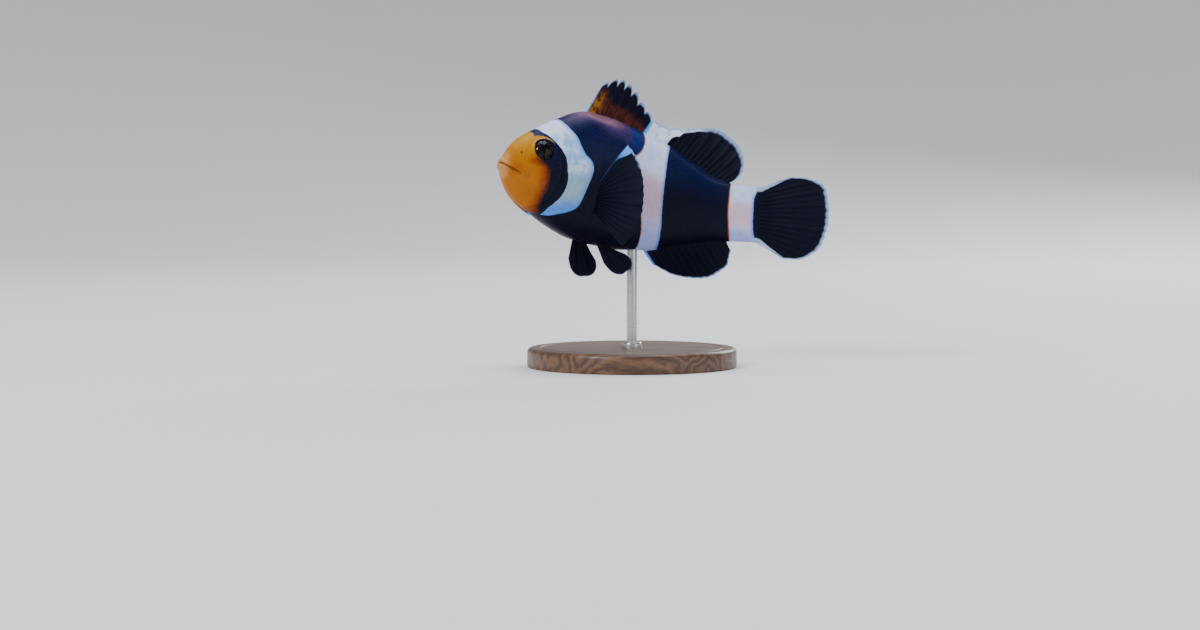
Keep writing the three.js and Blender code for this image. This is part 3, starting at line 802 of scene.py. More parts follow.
class Graph:
    """A node tree with short calls that add nodes and join them."""

    def __init__(self, tree: bpy.types.NodeTree) -> None:
        """Takes the tree to build in."""
        self.tree = tree

    def node(self, kind: str, **settings: object) -> Node:
        """A node with its settings.

        Args:
            kind: Blender's name for the node.
            settings: The node's settings.

        Returns:
            The node.
        """
        made = self.tree.nodes.new(kind)
        for key, value in settings.items():
            setattr(made, key, value)
        return made

    def feed(self, socket: Socket, value: object) -> None:
        """Joins a value to a socket, or sets a plain number or colour on the socket itself.

        Args:
            socket: The socket.
            value: What it reads.
        """
        if isinstance(value, Value):
            self.tree.links.new(value.socket, socket)
        elif isinstance(value, tuple) and socket.type == "RGBA":
            socket.default_value = (*value, 1.0)
        else:
            socket.default_value = value

    def feeds(self, node: Node, values: dict[str, object]) -> None:
        """Feeds a node's inputs by their names."""
        for key, value in values.items():
            self.feed(node.inputs[key], value)

    def math(self, operation: str, *values: object) -> Value:
        """A sum, product or other calculation on numbers.

        Args:
            operation: Blender's name for it.
            values: The numbers.

        Returns:
            The result.
        """
        made = self.node("ShaderNodeMath", operation=operation)
        for socket, value in zip(made.inputs, values):
            self.feed(socket, value)
        return Value(self, made.outputs[0])

    def blend(self, share: object, a: object, b: object, how: str = "MIX") -> Value:
        """A colour between two.

        Args:
            share: How much of b.
            a: The colour below.
            b: The colour above.
            how: Blender's name for the way of blending.

        Returns:
            The colour.
        """
        made = self.node("ShaderNodeMix", data_type="RGBA", blend_type=how)
        for socket, value in ((made.inputs[0], share), (made.inputs[6], a), (made.inputs[7], b)):
            self.feed(socket, value)
        return Value(self, made.outputs[2])

    def layers(self, base: object, *coats: tuple[object, object]) -> object:
        """Colours laid over each other.

        Args:
            base: The lowest colour.
            coats: For each coat how much it covers, and its colour.

        Returns:
            The colour on top.
        """
        for share, colour in coats:
            base = self.blend(share, base, colour)
        return base

    def attributes(self, *names: str) -> tuple[Value, ...]:
        """Numbers that the mesh holds at each vertex."""
        return tuple(Value(self, self.node("ShaderNodeAttribute", attribute_name=n).outputs["Fac"]) for n in names)

    def place(self) -> Value:
        """The place in the object's own frame."""
        return Value(self, self.node("ShaderNodeTexCoord").outputs["Object"])

    def stretched(self, *scale: float) -> Value:
        """The place, with its axes scaled.

        Args:
            scale: For each axis, how much.

        Returns:
            The place.
        """
        made = self.node("ShaderNodeMapping")
        self.feeds(made, {"Vector": self.place(), "Scale": scale})
        return Value(self, made.outputs[0])

    def noise(self, grain: float, detail: float = 2.0, where: Value | None = None) -> Value:
        """Noise from 0 to 1.

        Args:
            grain: How large its grains are, in metres.
            detail: How many finer layers it has.
            where: The place, or None for the place in the object's own frame.

        Returns:
            The noise.
        """
        made = self.node("ShaderNodeTexNoise")
        self.feeds(made, {"Scale": 1 / grain, "Detail": detail, "Vector": where or self.place()})
        return Value(self, made.outputs["Fac"])

    def bump(self, height: Value, depth: float, normal: Value | None = None) -> Value:
        """A normal roughened by a height.

        Args:
            height: From 0 to 1.
            depth: How deep that is, in metres.
            normal: The normal to start from, or None for the surface's own.

        Returns:
            The normal.
        """
        made = self.node("ShaderNodeBump")
        start = {"Normal": normal} if normal else {}
        self.feeds(made, {"Strength": 1.0, "Distance": depth, "Height": height} | start)
        return Value(self, made.outputs["Normal"])


def new_material(name: str) -> tuple[Material, Graph, Node]:
    """An empty material.

    Args:
        name: Its name.

    Returns:
        The material, its graph and its Principled shader.
    """
    material = bpy.data.materials.new(name)
    material.use_nodes = True
    shader = next(node for node in material.node_tree.nodes if node.type == "BSDF_PRINCIPLED")
    return material, Graph(material.node_tree), shader


@dataclass(frozen=True)
class BodyColours:
    """The colours of the skin and of the scales over it, and the shared effect that lays them on."""

    black: Colour = (0.0027, 0.0021, 0.011)
    # painted sheen: navy laid over the black towards the top of the body
    flank_blue_sheen: Colour = (0.004, 0.007, 0.052)
    # painted reflection: a blue patch high on the back, about halfway along
    saddle_blue_reflection: Colour = (0.004, 0.025, 0.17)
    # brownish pink on the back, partly its own tinge and partly a painted highlight from above
    back_pink_and_highlight: Colour = (0.26, 0.12, 0.17)
    # dark purple on the back, partly its own tinge and partly painted sheen
    plum_and_sheen: Colour = (0.058, 0.029, 0.125)
    amber: Colour = (0.40, 0.125, 0.0)
    yellow: Colour = (0.48, 0.22, 0.0)
    rust: Colour = (0.23, 0.034, 0.001)
    dark_red: Colour = (0.055, 0.009, 0.004)
    lip: Colour = (0.60, 0.36, 0.14)
    white: Colour = (0.67, 0.74, 0.98)
    sky: Colour = (0.16, 0.44, 0.94)
    # painted shade: the bluish lower part of the white bands
    lavender_shade: Colour = (0.34, 0.38, 0.80)
    # a pinkish tint with painted shade, on the mid flank of the rear bands
    blush_and_shade: Colour = (0.68, 0.45, 0.60)
    # painted shade: grey-teal low on the head band
    shade: Colour = (0.22, 0.40, 0.46)
    # a blue line along the bands' rear edges, and painted shade at the bottom of the head band
    blue_edge_and_chin_shade: Colour = (0.06, 0.24, 0.85)
    rust_line: Colour = (0.34, 0.09, 0.01)
    scale_shade: Colour = (0.0, 0.0, 0.0)
    # painted highlight: faint blue light on the scales' free rims
    scale_rim_highlight: Colour = (0.30, 0.42, 0.90)

    def build(self) -> bpy.types.NodeTree:
        """The shared effect.

        Returns:
            The group. It reads how dark a scale is, and how near its rim, where a faint highlight is painted, both 0
            on bare skin. It gives the colour, and how pale the place is.
        """
        tree = bpy.data.node_groups.new("body_colours", "ShaderNodeTree")
        for key in ("Tone", "Rim"):
            tree.interface.new_socket(key, in_out="INPUT", socket_type="NodeSocketFloat")
        for key, kind in (("Colour", "NodeSocketColor"), ("Pale", "NodeSocketFloat")):
            tree.interface.new_socket(key, in_out="OUTPUT", socket_type=kind)
        g = Graph(tree)
        given = g.node("NodeGroupInput").outputs
        tone, rim = Value(g, given["Tone"]), Value(g, given["Rim"])
        mask, white, line, brown_and_highlight, height, along = g.attributes(
            "mask", "white", "front_line", "brown_and_highlight", "height", "along")
        patch, wander = g.noise(4.5 * MM), g.noise(0.9 * MM, 3).swing(0.36)
        inside = mask + wander
        orange = inside.step(-0.16, 0.16)
        white = (white + wander).step(-0.1, 0.1)
        # the back's brownish tinge, with a painted highlight on the top of the back
        warm = brown_and_highlight + patch.swing(0.3)
        # where the painted blue reflection lies, high on the back about halfway along
        saddle = along.step(0.475, 0.5) * along.step(0.58, 0.55) * height.step(0.11, 0.17)
        pale = g.math("MAXIMUM", white, orange)
        colour = g.layers(
            self.black,
            # painted sheen: the black turns navy towards the top of the body
            (height.step(-0.02, 0.16), self.flank_blue_sheen),
            (warm.step(0.04, 0.6), self.plum_and_sheen),
            (warm.step(0.45, 0.95), self.back_pink_and_highlight),
            # painted reflection: the blue patch high on the back
            (saddle * 0.8, self.saddle_blue_reflection),
            (orange, self.face(g, patch, inside)),
            (white, self.band(g, patch)),
            (line.step(-0.3, -0.08) * 0.85 * patch.step(0.2, 0.5), self.rust_line),
            (tone * (0.3 - pale * 0.23), self.scale_shade))
        # painted highlight on the scales' rims
        colour = g.blend(rim.step(0.7, 1.0) * 0.03, colour, self.scale_rim_highlight, "SCREEN")
        g.feeds(g.node("NodeGroupOutput"), {"Colour": colour, "Pale": pale})
        return tree

    def face(self, g: Graph, patch: Value, inside: Value) -> Value:
        """The mask: amber, yellow towards its top, paler at the lips, with rust and then dark red low down towards its
        rear edge.

        Args:
            g: The graph.
            patch: Noise in large patches.
            inside: How far inside the mask's edge, in millimetres.

        Returns:
            The colour.
        """
        height, along = g.attributes("height", "along")
        speck, deep = g.noise(0.3 * MM), inside + g.noise(1.1 * MM, 3).swing(1.6)
        low = height.step(0.065, 0.015)
        return g.layers(
            self.amber,
            (height.step(-0.01, 0.07), self.yellow),
            (patch.step(0.42, 0.75) * 0.35, self.rust),
            # the mask grows darker low down towards its rear edge
            (deep.step(3.6, 1.0) * low * 0.9, self.rust),
            (deep.step(1.5, 0.15) * low, self.dark_red),
            (along.step(0.03, 0.008) * 0.45, self.lip),
            (speck.step(0.55, 0.72) * 0.3, self.rust))

    def band(self, g: Graph, patch: Value) -> Value:
        """A white band: brightest at the top, with painted shade below, bluish on every band and grey-teal and blue
        low on the head band, a pinkish tint with painted shade on the mid flank of the rear bands, and a blue rear
        edge.

        Args:
            g: The graph.
            patch: Noise in large patches.

        Returns:
            The colour.
        """
        along, height, rear = g.attributes("along", "height", "rear_line")
        stalk = along.step(0.8, 0.88) + 1.0  # the stalk of the tail is half as high as the body
        drift = height * stalk + patch.swing(0.07)
        cloud = g.noise(2.2 * MM, 3).step(0.46, 0.6)
        behind, before = along.step(0.4, 0.5), along.step(0.38, 0.34)
        flank = drift.step(0.11, 0.03) * drift.step(-0.15, -0.03)
        mottled = drift.step(0.15, 0.1) * (g.math("MAXIMUM", cloud, rear.step(-2.6, -0.8)) * before)
        return g.layers(
            self.white,
            (cloud * 0.22, self.sky),
            # painted shade: bluish towards the bottom of every band
            (drift.step(-0.02, -0.14) * 0.9, self.lavender_shade),
            # pinkish tint with painted shade on the mid flank of the rear bands
            (flank * behind * 0.9, self.blush_and_shade),
            (mottled * 0.7, self.sky),
            # painted shade: grey-teal low on the head band
            (drift.step(0.05, -0.02) * before * 0.8, self.shade),
            # painted shade: blue at the bottom of the head band, under the chin
            (drift.step(-0.08, -0.12) * before * 0.85, self.blue_edge_and_chin_shade),
            (rear.step(-1.0, -0.05) * 0.75, self.blue_edge_and_chin_shade))


@dataclass(frozen=True)
class SkinFinish:
    """Bare, wet skin or the scales over it."""

    name: str
    roughness: tuple[float, float]
    pore_size: float
    pore_depth: float
    scaly: bool

    def build(self, colours: bpy.types.NodeTree) -> Material:
        """The finish's material.

        Args:
            colours: The shared effect with the body's colours.

        Returns:
            The material.
        """
        material, g, shader = new_material(self.name)
        body = g.node("ShaderNodeGroup", node_tree=colours)
        if self.scaly:
            g.feeds(body, dict(zip(("Tone", "Rim"), g.attributes("tone", "rim"))))
        low, high = self.roughness
        g.feeds(shader, {
            "Base Color": Value(g, body.outputs["Colour"]),
            "Roughness": g.noise(1.6 * MM) * (high - low) + low,
            "Normal": g.bump(g.noise(self.pore_size, 3), self.pore_depth),
            "Coat Weight": Value(g, body.outputs["Pale"]) * 0.04 + 0.02,
            "Coat Roughness": 0.22,
            "Subsurface Weight": 0.08,
            "Subsurface Radius": (0.6, 0.35, 0.25),
            "Subsurface Scale": 0.8 * MM,
            "Specular IOR Level": 0.11,
            "Specular Tint": (0.68, 0.78, 1.0)})
        return material


class FinPattern(Enum):
    """How a fin is marked."""

    PLAIN = "plain"
    SOFT = "soft"
    SPINY = "spiny"
    PALE = "pale"
    TAIL = "tail"
    PECTORAL = "pectoral"
    ANAL = "anal"


Marked = tuple[Value, Value]  # a fin's colour, and how much of its pale margin shows


class FinBase:
    """A black fin before it is marked, with what its mesh holds at each vertex."""

    def __init__(self, g: Graph, membrane: Colour, ray: Colour, margin_width: float) -> None:
        """Reads the mesh's numbers.

        Args:
            g: The graph.
            membrane: The membrane's colour.
            ray: The rays' colour.
            margin_width: Of the pale free edge, in millimetres.
        """
        self.g, self.cloud = g, g.noise(1.3 * MM, 3)
        self.ray, self.reach, self.on_ray = g.attributes("ray", "reach", "on_ray")
        self.to_edge, self.front, self.back = g.attributes("to_edge", "from_front", "from_back")
        self.colour = g.blend(self.on_ray, membrane, ray)
        self.margin = (self.to_edge + self.cloud.swing(0.5)).step(margin_width, 0.25 * margin_width)


@dataclass(frozen=True)
class FinFinish:
    """A fin's membrane and rays. Each pattern has a method of its own."""

    name: str
    pattern: FinPattern
    membrane: Colour = (0.0025, 0.0023, 0.008)
    ray: Colour = (0.0055, 0.006, 0.018)
    margin: Colour = (0.26, 0.42, 0.74)
    margin_width: float = 0.9  # in millimetres
    margin_clear: float = 0.45  # how much light passes the margin
    rust: Colour = (0.030, 0.006, 0.005)
    bronze: Colour = (0.085, 0.016, 0.008)
    gold: Colour = (0.30, 0.115, 0.008)
    light_blue: Colour = (0.08, 0.32, 0.85)
    # painted highlight on the pectoral fin's leading edge
    violet_highlight: Colour = (0.014, 0.020, 0.10)
    white: Colour = (0.76, 0.82, 0.94)

    def build(self) -> Material:
        """The finish's material.

        Returns:
            The material.
        """
        material, g, shader = new_material(self.name)
        fin = FinBase(g, self.membrane, self.ray, self.margin_width)
        colour, margin = getattr(self, self.pattern.value)(fin)
        segments = abs(g.attributes("out")[0].fraction() - 0.5)
        rough = g.bump(g.noise(0.22 * MM, 3), 0.02 * MM)
        g.feeds(shader, {
            "Base Color": g.blend(margin * (0.92 - fin.on_ray * 0.5), colour, self.margin),
            "Alpha": 1.0 - margin * (1.0 - fin.on_ray * 0.7) * self.margin_clear,
            "Normal": g.bump(segments.step(0.0, 0.14) * fin.on_ray, 0.04 * MM, rough),
            "Roughness": fin.cloud * 0.25 + 0.36,
            "Specular IOR Level": 0.085,
            "Specular Tint": (0.6, 0.7, 1.0),
            "Coat Weight": 0.02,
            "Coat Roughness": 0.25})
        return material

    def plain(self, fin: FinBase) -> Marked:
        """Black, with a pale free edge."""
        return fin.colour, fin.margin

    def soft(self, fin: FinBase) -> Marked:
        """Black, with a white corner at the tip of the first rays."""
        corner = (fin.to_edge + fin.cloud.swing(0.4)).step(1.3, 0.9) * fin.ray.step(0.3, 0.12)
        return fin.g.blend(corner, fin.colour, self.white), fin.margin

    def pale(self, fin: FinBase) -> Marked:
        """The low part of the back fin: white with bluish clouds, and a rounded black corner behind.

        Args:
            fin: The black fin.

        Returns:
            The marked fin.
        """
        corner = fin.g.math("MAXIMUM", 2.4 - fin.to_edge, 0.0) * 1.6 + fin.back
        colour = fin.g.layers(
            self.white,
            (fin.cloud.step(0.4, 0.75) * 0.6, self.margin),
            (fin.on_ray * 0.35, self.light_blue),
            (corner.step(2.3, 1.95), fin.colour))
        return colour, fin.margin

    def tail(self, fin: FinBase) -> Marked:
        """Black, with a white wedge along the outer rays and a pale edge all round.

        Args:
            fin: The black fin.

        Returns:
            The marked fin.
        """
        side = fin.g.math("MINIMUM", fin.front, fin.back) + fin.cloud.swing(0.5)
        wedge = (side - (1.3 - fin.reach * 0.65)).step(0.25, -0.25)
        colour = fin.g.blend(wedge * fin.reach.step(0.75, 0.35), fin.colour, self.white)
        return colour, fin.g.math("MAXIMUM", fin.margin, wedge * 0.8)

    def pectoral(self, fin: FinBase) -> Marked:
        """Black, with a painted highlight along its leading edge, dark bluish purple, that grows wider and light blue
        towards its tip.

        Args:
            fin: The black fin.

        Returns:
            The marked fin.
        """
        width = fin.reach.step(0.6, 1.0) * 2.0 + 0.35
        # painted highlight along the leading edge, where light from above catches it, light blue towards the tip
        lit_leading_edge = (fin.front - width).step(0.15, -0.15) * fin.reach.step(0.0, 0.12)
        edge = fin.g.blend(fin.reach.step(0.55, 0.9), self.violet_highlight, self.light_blue)
        return fin.g.blend(lit_leading_edge, fin.colour, edge), fin.margin * fin.ray.step(0.3, 0.12)

    def anal(self, fin: FinBase) -> Marked:
        """Black, with a light blue front edge."""
        front = (fin.front + fin.cloud.swing(0.5)).step(1.1, 0.5)
        return fin.g.blend(front, fin.colour, self.light_blue), fin.margin

    def spiny(self, fin: FinBase) -> Marked:
        """Rusty, streaked along the spines, golden low in front, dark above, with a light blue edge at each end.

        Args:
            fin: The black fin.

        Returns:
            The marked fin.
        """
        g, reach, ray = fin.g, fin.reach, fin.ray
        where = g.node("ShaderNodeCombineXYZ")
        g.feeds(where, {"X": ray * 26.0, "Y": reach * 3.2})
        streak = g.noise(1.0, 3, Value(g, where.outputs[0]))
        gold = ray.step(0.24, 0.1) * reach.step(0.8, 0.4) * fin.cloud.step(0.35, 0.55)
        warm = g.layers(self.rust, (streak.step(0.38, 0.62), self.bronze), (gold, self.gold))
        line = g.math("MAXIMUM", 0.95 - ray * 1.9, 0.44)
        ends = g.math("MINIMUM", fin.front, fin.back * 0.4)
        colour = g.layers(
            fin.colour,
            ((line - (reach + streak.swing(0.8))).step(-0.1, 0.1), warm),
            (ends.step(0.45, 0.2), self.light_blue))
        return colour, fin.margin * 0.85


@dataclass(frozen=True)
class EyeFinish:
    """The eyeball: a black pupil in a dark bronze iris. Radii are shares of the eyeball's."""

    pupil: Colour = (0.0008, 0.0008, 0.0014)
    iris: Colour = (0.0035, 0.0024, 0.002)
    fleck: Colour = (0.010, 0.006, 0.004)
    ring: Colour = (0.030, 0.016, 0.005)

    def build(self) -> Material:
        """The eyeball's material, which reads how far a place lies from the eye's axis.

        Returns:
            The material.
        """
        material, g, shader = new_material("eye_ball")
        (away,), fleck = g.attributes("from_axis"), g.noise(0.22 * MM, 3)
        ring = away.step(0.47, 0.51) * away.step(0.6, 0.52)
        iris = g.layers(self.iris, (fleck.step(0.4, 0.7), self.fleck), (ring * 0.8, self.ring))
        g.feeds(shader, {
            "Base Color": g.layers(self.pupil, (away.step(0.46, 0.49), iris), (away.step(0.8, 0.93), self.pupil)),
            "Normal": g.bump(fleck, 0.02 * MM),
            "Roughness": fleck * 0.1 + 0.4,
            "Specular IOR Level": 0.05})
        return material


@dataclass(frozen=True)
class CorneaFinish:
    """The clear dome over the eye."""

    roughness: float = 0.03
    bending: float = 1.27  # of light, as an index

    def build(self) -> Material:
        """The cornea's material.

        Returns:
            The material.
        """
        material, g, shader = new_material("eye_cornea")
        g.feeds(shader, {
            "Base Color": (1, 1, 1), "Roughness": self.roughness, "IOR": self.bending, "Transmission Weight": 1.0})
        return material


@dataclass(frozen=True)
class WoodFinish:
    """Oiled walnut, with grain along X."""

    dark: Colour = (0.045, 0.018, 0.008)
    light: Colour = (0.19, 0.085, 0.036)
    stretch: tuple[float, float, float] = (0.07, 1.0, 0.5)

    def build(self) -> Material:
        """The wood's material.

        Returns:
            The material.
        """
        material, g, shader = new_material("walnut")
        where = g.stretched(*self.stretch)
        figure, fibre, pore = g.noise(7 * MM, 2, where), g.noise(0.3 * MM, 3, where), g.noise(0.16 * MM, 1, where)
        rings = abs((figure * 11.0).fraction() - 0.5)
        grain = rings * 0.8 + fibre * 0.55
        g.feeds(shader, {
            "Base Color": g.layers(self.dark, (grain.step(0.2, 0.85), self.light),
                                   (pore.step(0.62, 0.72) * 0.6, self.dark)),
            "Roughness": fibre * 0.25 + 0.32,
            "Normal": g.bump(fibre, 0.04 * MM),
            "Coat Weight": 0.2,
            "Coat Roughness": 0.25})
        return material


@dataclass(frozen=True)
class SteelFinish:
    """Steel, brushed round the rod."""

    dark: Colour = (0.40, 0.41, 0.42)
    light: Colour = (0.55, 0.56, 0.57)
    stretch: tuple[float, float, float] = (0.05, 0.05, 1.0)

    def build(self) -> Material:
        """The steel's material.

        Returns:
            The material.
        """
        material, g, shader = new_material("steel")
        brush = g.noise(0.12 * MM, 2, g.stretched(*self.stretch))
        g.feeds(shader, {
            "Base Color": g.blend(brush, self.dark, self.light),
            "Roughness": brush * 0.18 + 0.2,
            "Normal": g.bump(brush, 0.01 * MM),
            "Metallic": 1.0})
        return material


# ==== Skin and scales ====


@dataclass
class Skin:
    """One closed skin over the whole body, with the gill covers' free edges folded in it."""

    form: BodyForm
    relief: HeadRelief
    marks: Markings
    columns: int = 324
    mouth_density: float = 2.4  # how many more columns lie along the mouth
    mouth_spread: float = 10  # of that, in degrees
    front_rings: int = 206
    rear_rings: int = 70
    fold: Stations = (  # behind the gill cover's edge in millimetres, and height as a share of the step
        (0.06, 0.97), (0.12, 0.88), (0.14, 0.76), (0.1, 0.66), (0.0, 0.6), (-0.2, 0.52), (-0.45, 0.42),
        (-0.7, 0.31), (-0.86, 0.2), (-0.88, 0.1), (-0.78, 0.03), (-0.5, -0.02), (-0.1, -0.05), (0.3, -0.07))
    fold_step: float = 0.05 * MM
    fold_end: float = 0.8 * MM
    tail_rings: int = 5
    tail_rounding: float = 0.3 * MM
    tail_turn: float = 0.95 * math.pi / 2
    tail_squeeze: float = 0.96

    def angles(self) -> Array:
        """The angles of the columns, closer together along the mouth.

        Returns:
            The angles, in radians.
        """
        fine = np.linspace(0, ROUND, 4000)
        degrees, mouth = np.degrees(fine), 0.6 * self.relief.mouth_angle
        sides = hump(degrees, 180 - mouth, self.mouth_spread) + hump(degrees, 360 + mouth, self.mouth_spread)
        total = np.cumsum(1 + self.mouth_density * sides)
        total = (total - total[0]) / (total[-1] - total[0])
        return np.interp(np.arange(self.columns) / self.columns, total, fine)

    def rings(self, distance: Array, angle: Array) -> Places:
        """Rings of places on the body, one row for each."""
        return Places(self.form, *np.broadcast_arrays(distance, angle))

    def one_after_another(self, blocks: list[Places]) -> Places:
        """Blocks of rings as one block."""
        return self.rings(np.concatenate([at.distance for at in blocks]), np.concatenate([at.angle for at in blocks]))

    def build(self, material: Material) -> Piece:
        """Makes the skin and dresses it.

        Args:
            material: The bare skin's finish.

        Returns:
            The skin.
        """
        angle = self.angles()
        gill = self.marks.gill_edge(angle)
        step = self.relief.gill_cover(Places(self.form, gill, angle), gill)
        openness = step / self.relief.gill_step
        front = self.rings(gill * np.linspace(0, 1, self.front_rings + 1)[1:, None] ** 2, angle)
        blocks = [(front, self.relief.front(front, gill))]
        for k, (offset, level) in enumerate(self.fold):
            place = gill + mix(self.fold_step * (k + 1), offset * MM, openness)
            blocks.append((self.rings(place[None], angle), (step * level)[None]))
        start = gill + mix(self.fold_step * (len(self.fold) + 1), self.fold_end, openness)
        rear = self.rings(mix(start, TAIL_END * BODY_LENGTH, np.linspace(0, 1, self.rear_rings)[:, None]), angle)
        blocks.append((rear, self.relief.rear(rear, gill)))
        rings = self.one_after_another([at for at, _ in blocks])
        points = rings.raised(np.concatenate([height for _, height in blocks]) - COAT_DEPTH)
        nose = mix(points[0].mean(0), self.form.point(np.array(0.0), np.array(0.0)), 0.5)
        end = self.rings(np.full((self.tail_rings, 1), TAIL_END * BODY_LENGTH), angle)
        piece = self.joined(
            np.concatenate([points, self.tail_end(angle)]), nose, self.one_after_another([rings, end]))
        dress(piece, material, FLESH)
        return piece

    def tail_end(self, angle: Array) -> Array:
        """The rings that round off the end of the body inside the roots of the tail fin's rays.

        Args:
            angle: The angles of the columns.

        Returns:
            The points, one row for each ring.
        """
        turn = self.tail_turn * np.arange(1, self.tail_rings + 1)[:, None] / self.tail_rings
        end = np.array(TAIL_END * BODY_LENGTH)
        left, up = self.form.section(end, angle, -COAT_DEPTH)
        up = up * mix(self.tail_squeeze, 1.0, np.cos(turn))
        return self.form.beside(end + self.tail_rounding * np.sin(turn), left * np.cos(turn), up)

    def joined(self, points: Array, nose: Array, places: Places) -> Piece:
        """Joins the rings and the two ends into one closed mesh.

        Args:
            points: The rings' points.
            nose: The point of the snout.
            places: Where the rings lie on the body.

        Returns:
            The piece.
        """
        rows, columns = points.shape[:2]
        everything = np.concatenate([points.reshape(-1, 3), nose[None], points[-1].mean(0)[None]])
        j = np.arange(columns)
        after, last = (j + 1) % columns, (rows - 1) * columns
        start = np.stack([np.full(columns, rows * columns), j, after], -1)
        end = np.stack([np.full(columns, rows * columns + 1), last + after, last + j], -1)
        values = self.marks.values(places)
        flat = {key: np.concatenate([v.ravel(), v[0, :1], v[-1, :1]]) for key, v in values.items()}
        return new_piece("skin", everything, [grid_faces(rows, columns, True), start, end], flat)


@dataclass
class ScaleCoat:
    """Overlapping scales in staggered rows, smaller on the head, each a thin closed plate."""

    form: BodyForm
    relief: HeadRelief
    marks: Markings
    rows: int = 68  # round the body
    pitch_share: float = 0.56  # from one column to the next, of the height of a row
    first_place: float = 0.11  # of the body length
    last_place: float = 1.02
    thickness: float = 0.035 * MM
    lift: float = 0.085 * MM
    crown: float = 0.03 * MM
    sunk: float = 0.012 * MM
    scatter: float = 0.05  # of a scale's place, in rows
    tilts: tuple[float, float] = (0.8, 1.2)
    overlap: float = 2.25  # a scale's length, in columns
    full_size: float = 1.1 * MM  # of a row where a scale has its whole thickness
    half_across: float = 0.57  # of a scale, in rows
    across: tuple[float, ...] = (-0.5, -0.36, -0.19, 0.0, 0.19, 0.36, 0.5)
    out: tuple[float, ...] = (0.0, 0.42, 0.8, 1.0)
    bare_head: SmoothCurve = SmoothCurve(  # where the scales start, as (degrees, way along the body)
        ((-90, 0.15), (-60, 0.145), (-20, 0.125), (0, 0.135), (20, 0.17), (50, 0.2), (90, 0.21)))
    bare_eye: float = 1.1 * MM
    sharp_angle: float = math.radians(50)
    patch: float = 0.003  # of the unwrap, for each scale
    patch_margin: float = 0.02

    def columns(self) -> list[float]:
        """How far along the body each column of scales starts.

        Returns:
            The distances from the snout.
        """
        places = [self.first_place * BODY_LENGTH]
        while places[-1] < self.last_place * BODY_LENGTH:
            height = float(self.form.perimeter(np.array(places[-1]))) / self.rows
            places.append(places[-1] + self.pitch_share * height)
        return places

    def scaled(self, at: Places, size: Array) -> Array:
        """Which places carry a scale: not the snout, the lips, the eyes or the edge of the gill cover.

        Args:
            at: The roots of the scales.
            size: The height of a row there.

        Returns:
            True for the places that do.
        """
        _, away = self.relief.from_eye(at.mirrored())
        gill = self.marks.gill_edge(at.angle)
        step = self.relief.gill_cover(Places(self.form, gill, at.angle), gill)
        free = (at.distance + 0.62 * size < gill) | (at.distance > gill + 0.1 * MM) | (step < 0.05 * MM)
        return (at.share > self.bare_head(at.low)) & (away > self.relief.eye_radius + self.bare_eye) & free

    def build(self, material: Material) -> list[Piece]:
        """Makes the scales as four pieces for each side, each length holding a quarter of all the scales.

        Args:
            material: The scales' finish.

        Returns:
            The pieces.
        """
        draw, turn = np.random.default_rng(SEED), ROUND / self.rows
        places = np.array(self.columns())
        stagger = 0.5 * (np.arange(len(places)) % 2)[:, None]
        distance = np.repeat(places, self.rows)
        angle = ((np.arange(self.rows) + stagger) * turn).ravel()
        size = self.form.perimeter(distance) / self.rows
        distance = distance + size * draw.uniform(-self.scatter, self.scatter, len(size))
        angle = angle + turn * draw.uniform(-self.scatter, self.scatter, len(size))
        kept = self.scaled(Places(self.form, distance, angle), size)
        distance, angle, size = distance[kept], angle[kept], size[kept]
        tone, tilt = draw.uniform(0, 1, len(size)), draw.uniform(*self.tilts, len(size))
        pieces = []
        left, length = np.cos(angle) >= 0, np.searchsorted(np.quantile(distance, (0.25, 0.5, 0.75)), distance)
        for word, side in (("left", left), ("right", ~left)):
            for k, end in enumerate(("head", "shoulder", "flank", "tail")):
                parts = (a[side & (length == k)] for a in (distance, angle, size, tone, tilt))
                pieces.append(self.plates(f"scales_{word}_{end}", *parts))
                dress(pieces[-1], material, ())
        return pieces

    def plates(self, name: str, distance: Array, angle: Array, size: Array, tone: Array, tilt: Array) -> Piece:
        """One piece of scales.

        Args:
            name: The piece's name.
            distance: From the snout to each scale's root.
            angle: Of each scale, round the section.
            size: The height of a row there.
            tone: How dark each scale is.
            tilt: How much each scale stands up.

        Returns:
            The piece.
        """
        b, a = np.meshgrid(np.array(self.across) * 2 * self.half_across, np.array(self.out))
        side = np.abs(b) / self.half_across
        narrow = np.where(a == 0, 0.72, 1.0) * np.where(a == 1, 0.93, 1.0)
        along, across = a * (1 - 0.5 * side**2.4) * self.overlap * self.pitch_share, b * narrow
        root, row, spread, tone, tilt, gill = (
            x[:, None, None] for x in (distance, size, angle, tone, tilt, self.marks.gill_edge(angle)))
        at = Places(self.form, root + along * row, spread + across * ROUND / self.rows)
        relief = np.where(root < gill, self.relief.front(at, gill), self.relief.rear(at, gill))
        small = np.clip(row / self.full_size, 0.45, 1)
        rise = tilt * self.lift * a + self.crown * (1 - side**2) * np.minimum(1, 0.3 + a)
        top = relief - COAT_DEPTH + rise * small - self.sunk
        points = np.stack([at.raised(top), at.raised(top - self.thickness * small)], 1)
        count, per = len(distance), 2 * a.size
        faces = sheet_faces(*a.shape)[None] + (np.arange(count) * per)[:, None, None]
        values = self.marks.values(at) | {"tone": tone, "rim": a * (1 - 0.2 * (1 - side))}
        flat = {key: np.stack([np.broadcast_to(v, at.share.shape)] * 2, 1).ravel() for key, v in values.items()}
        piece = new_piece(name, points.reshape(-1, 3), [faces.reshape(-1, 4)], flat)
        self.unwrap(piece.data, distance, angle, along, across)
        piece.data.set_sharp_from_angle(angle=self.sharp_angle)
        return piece

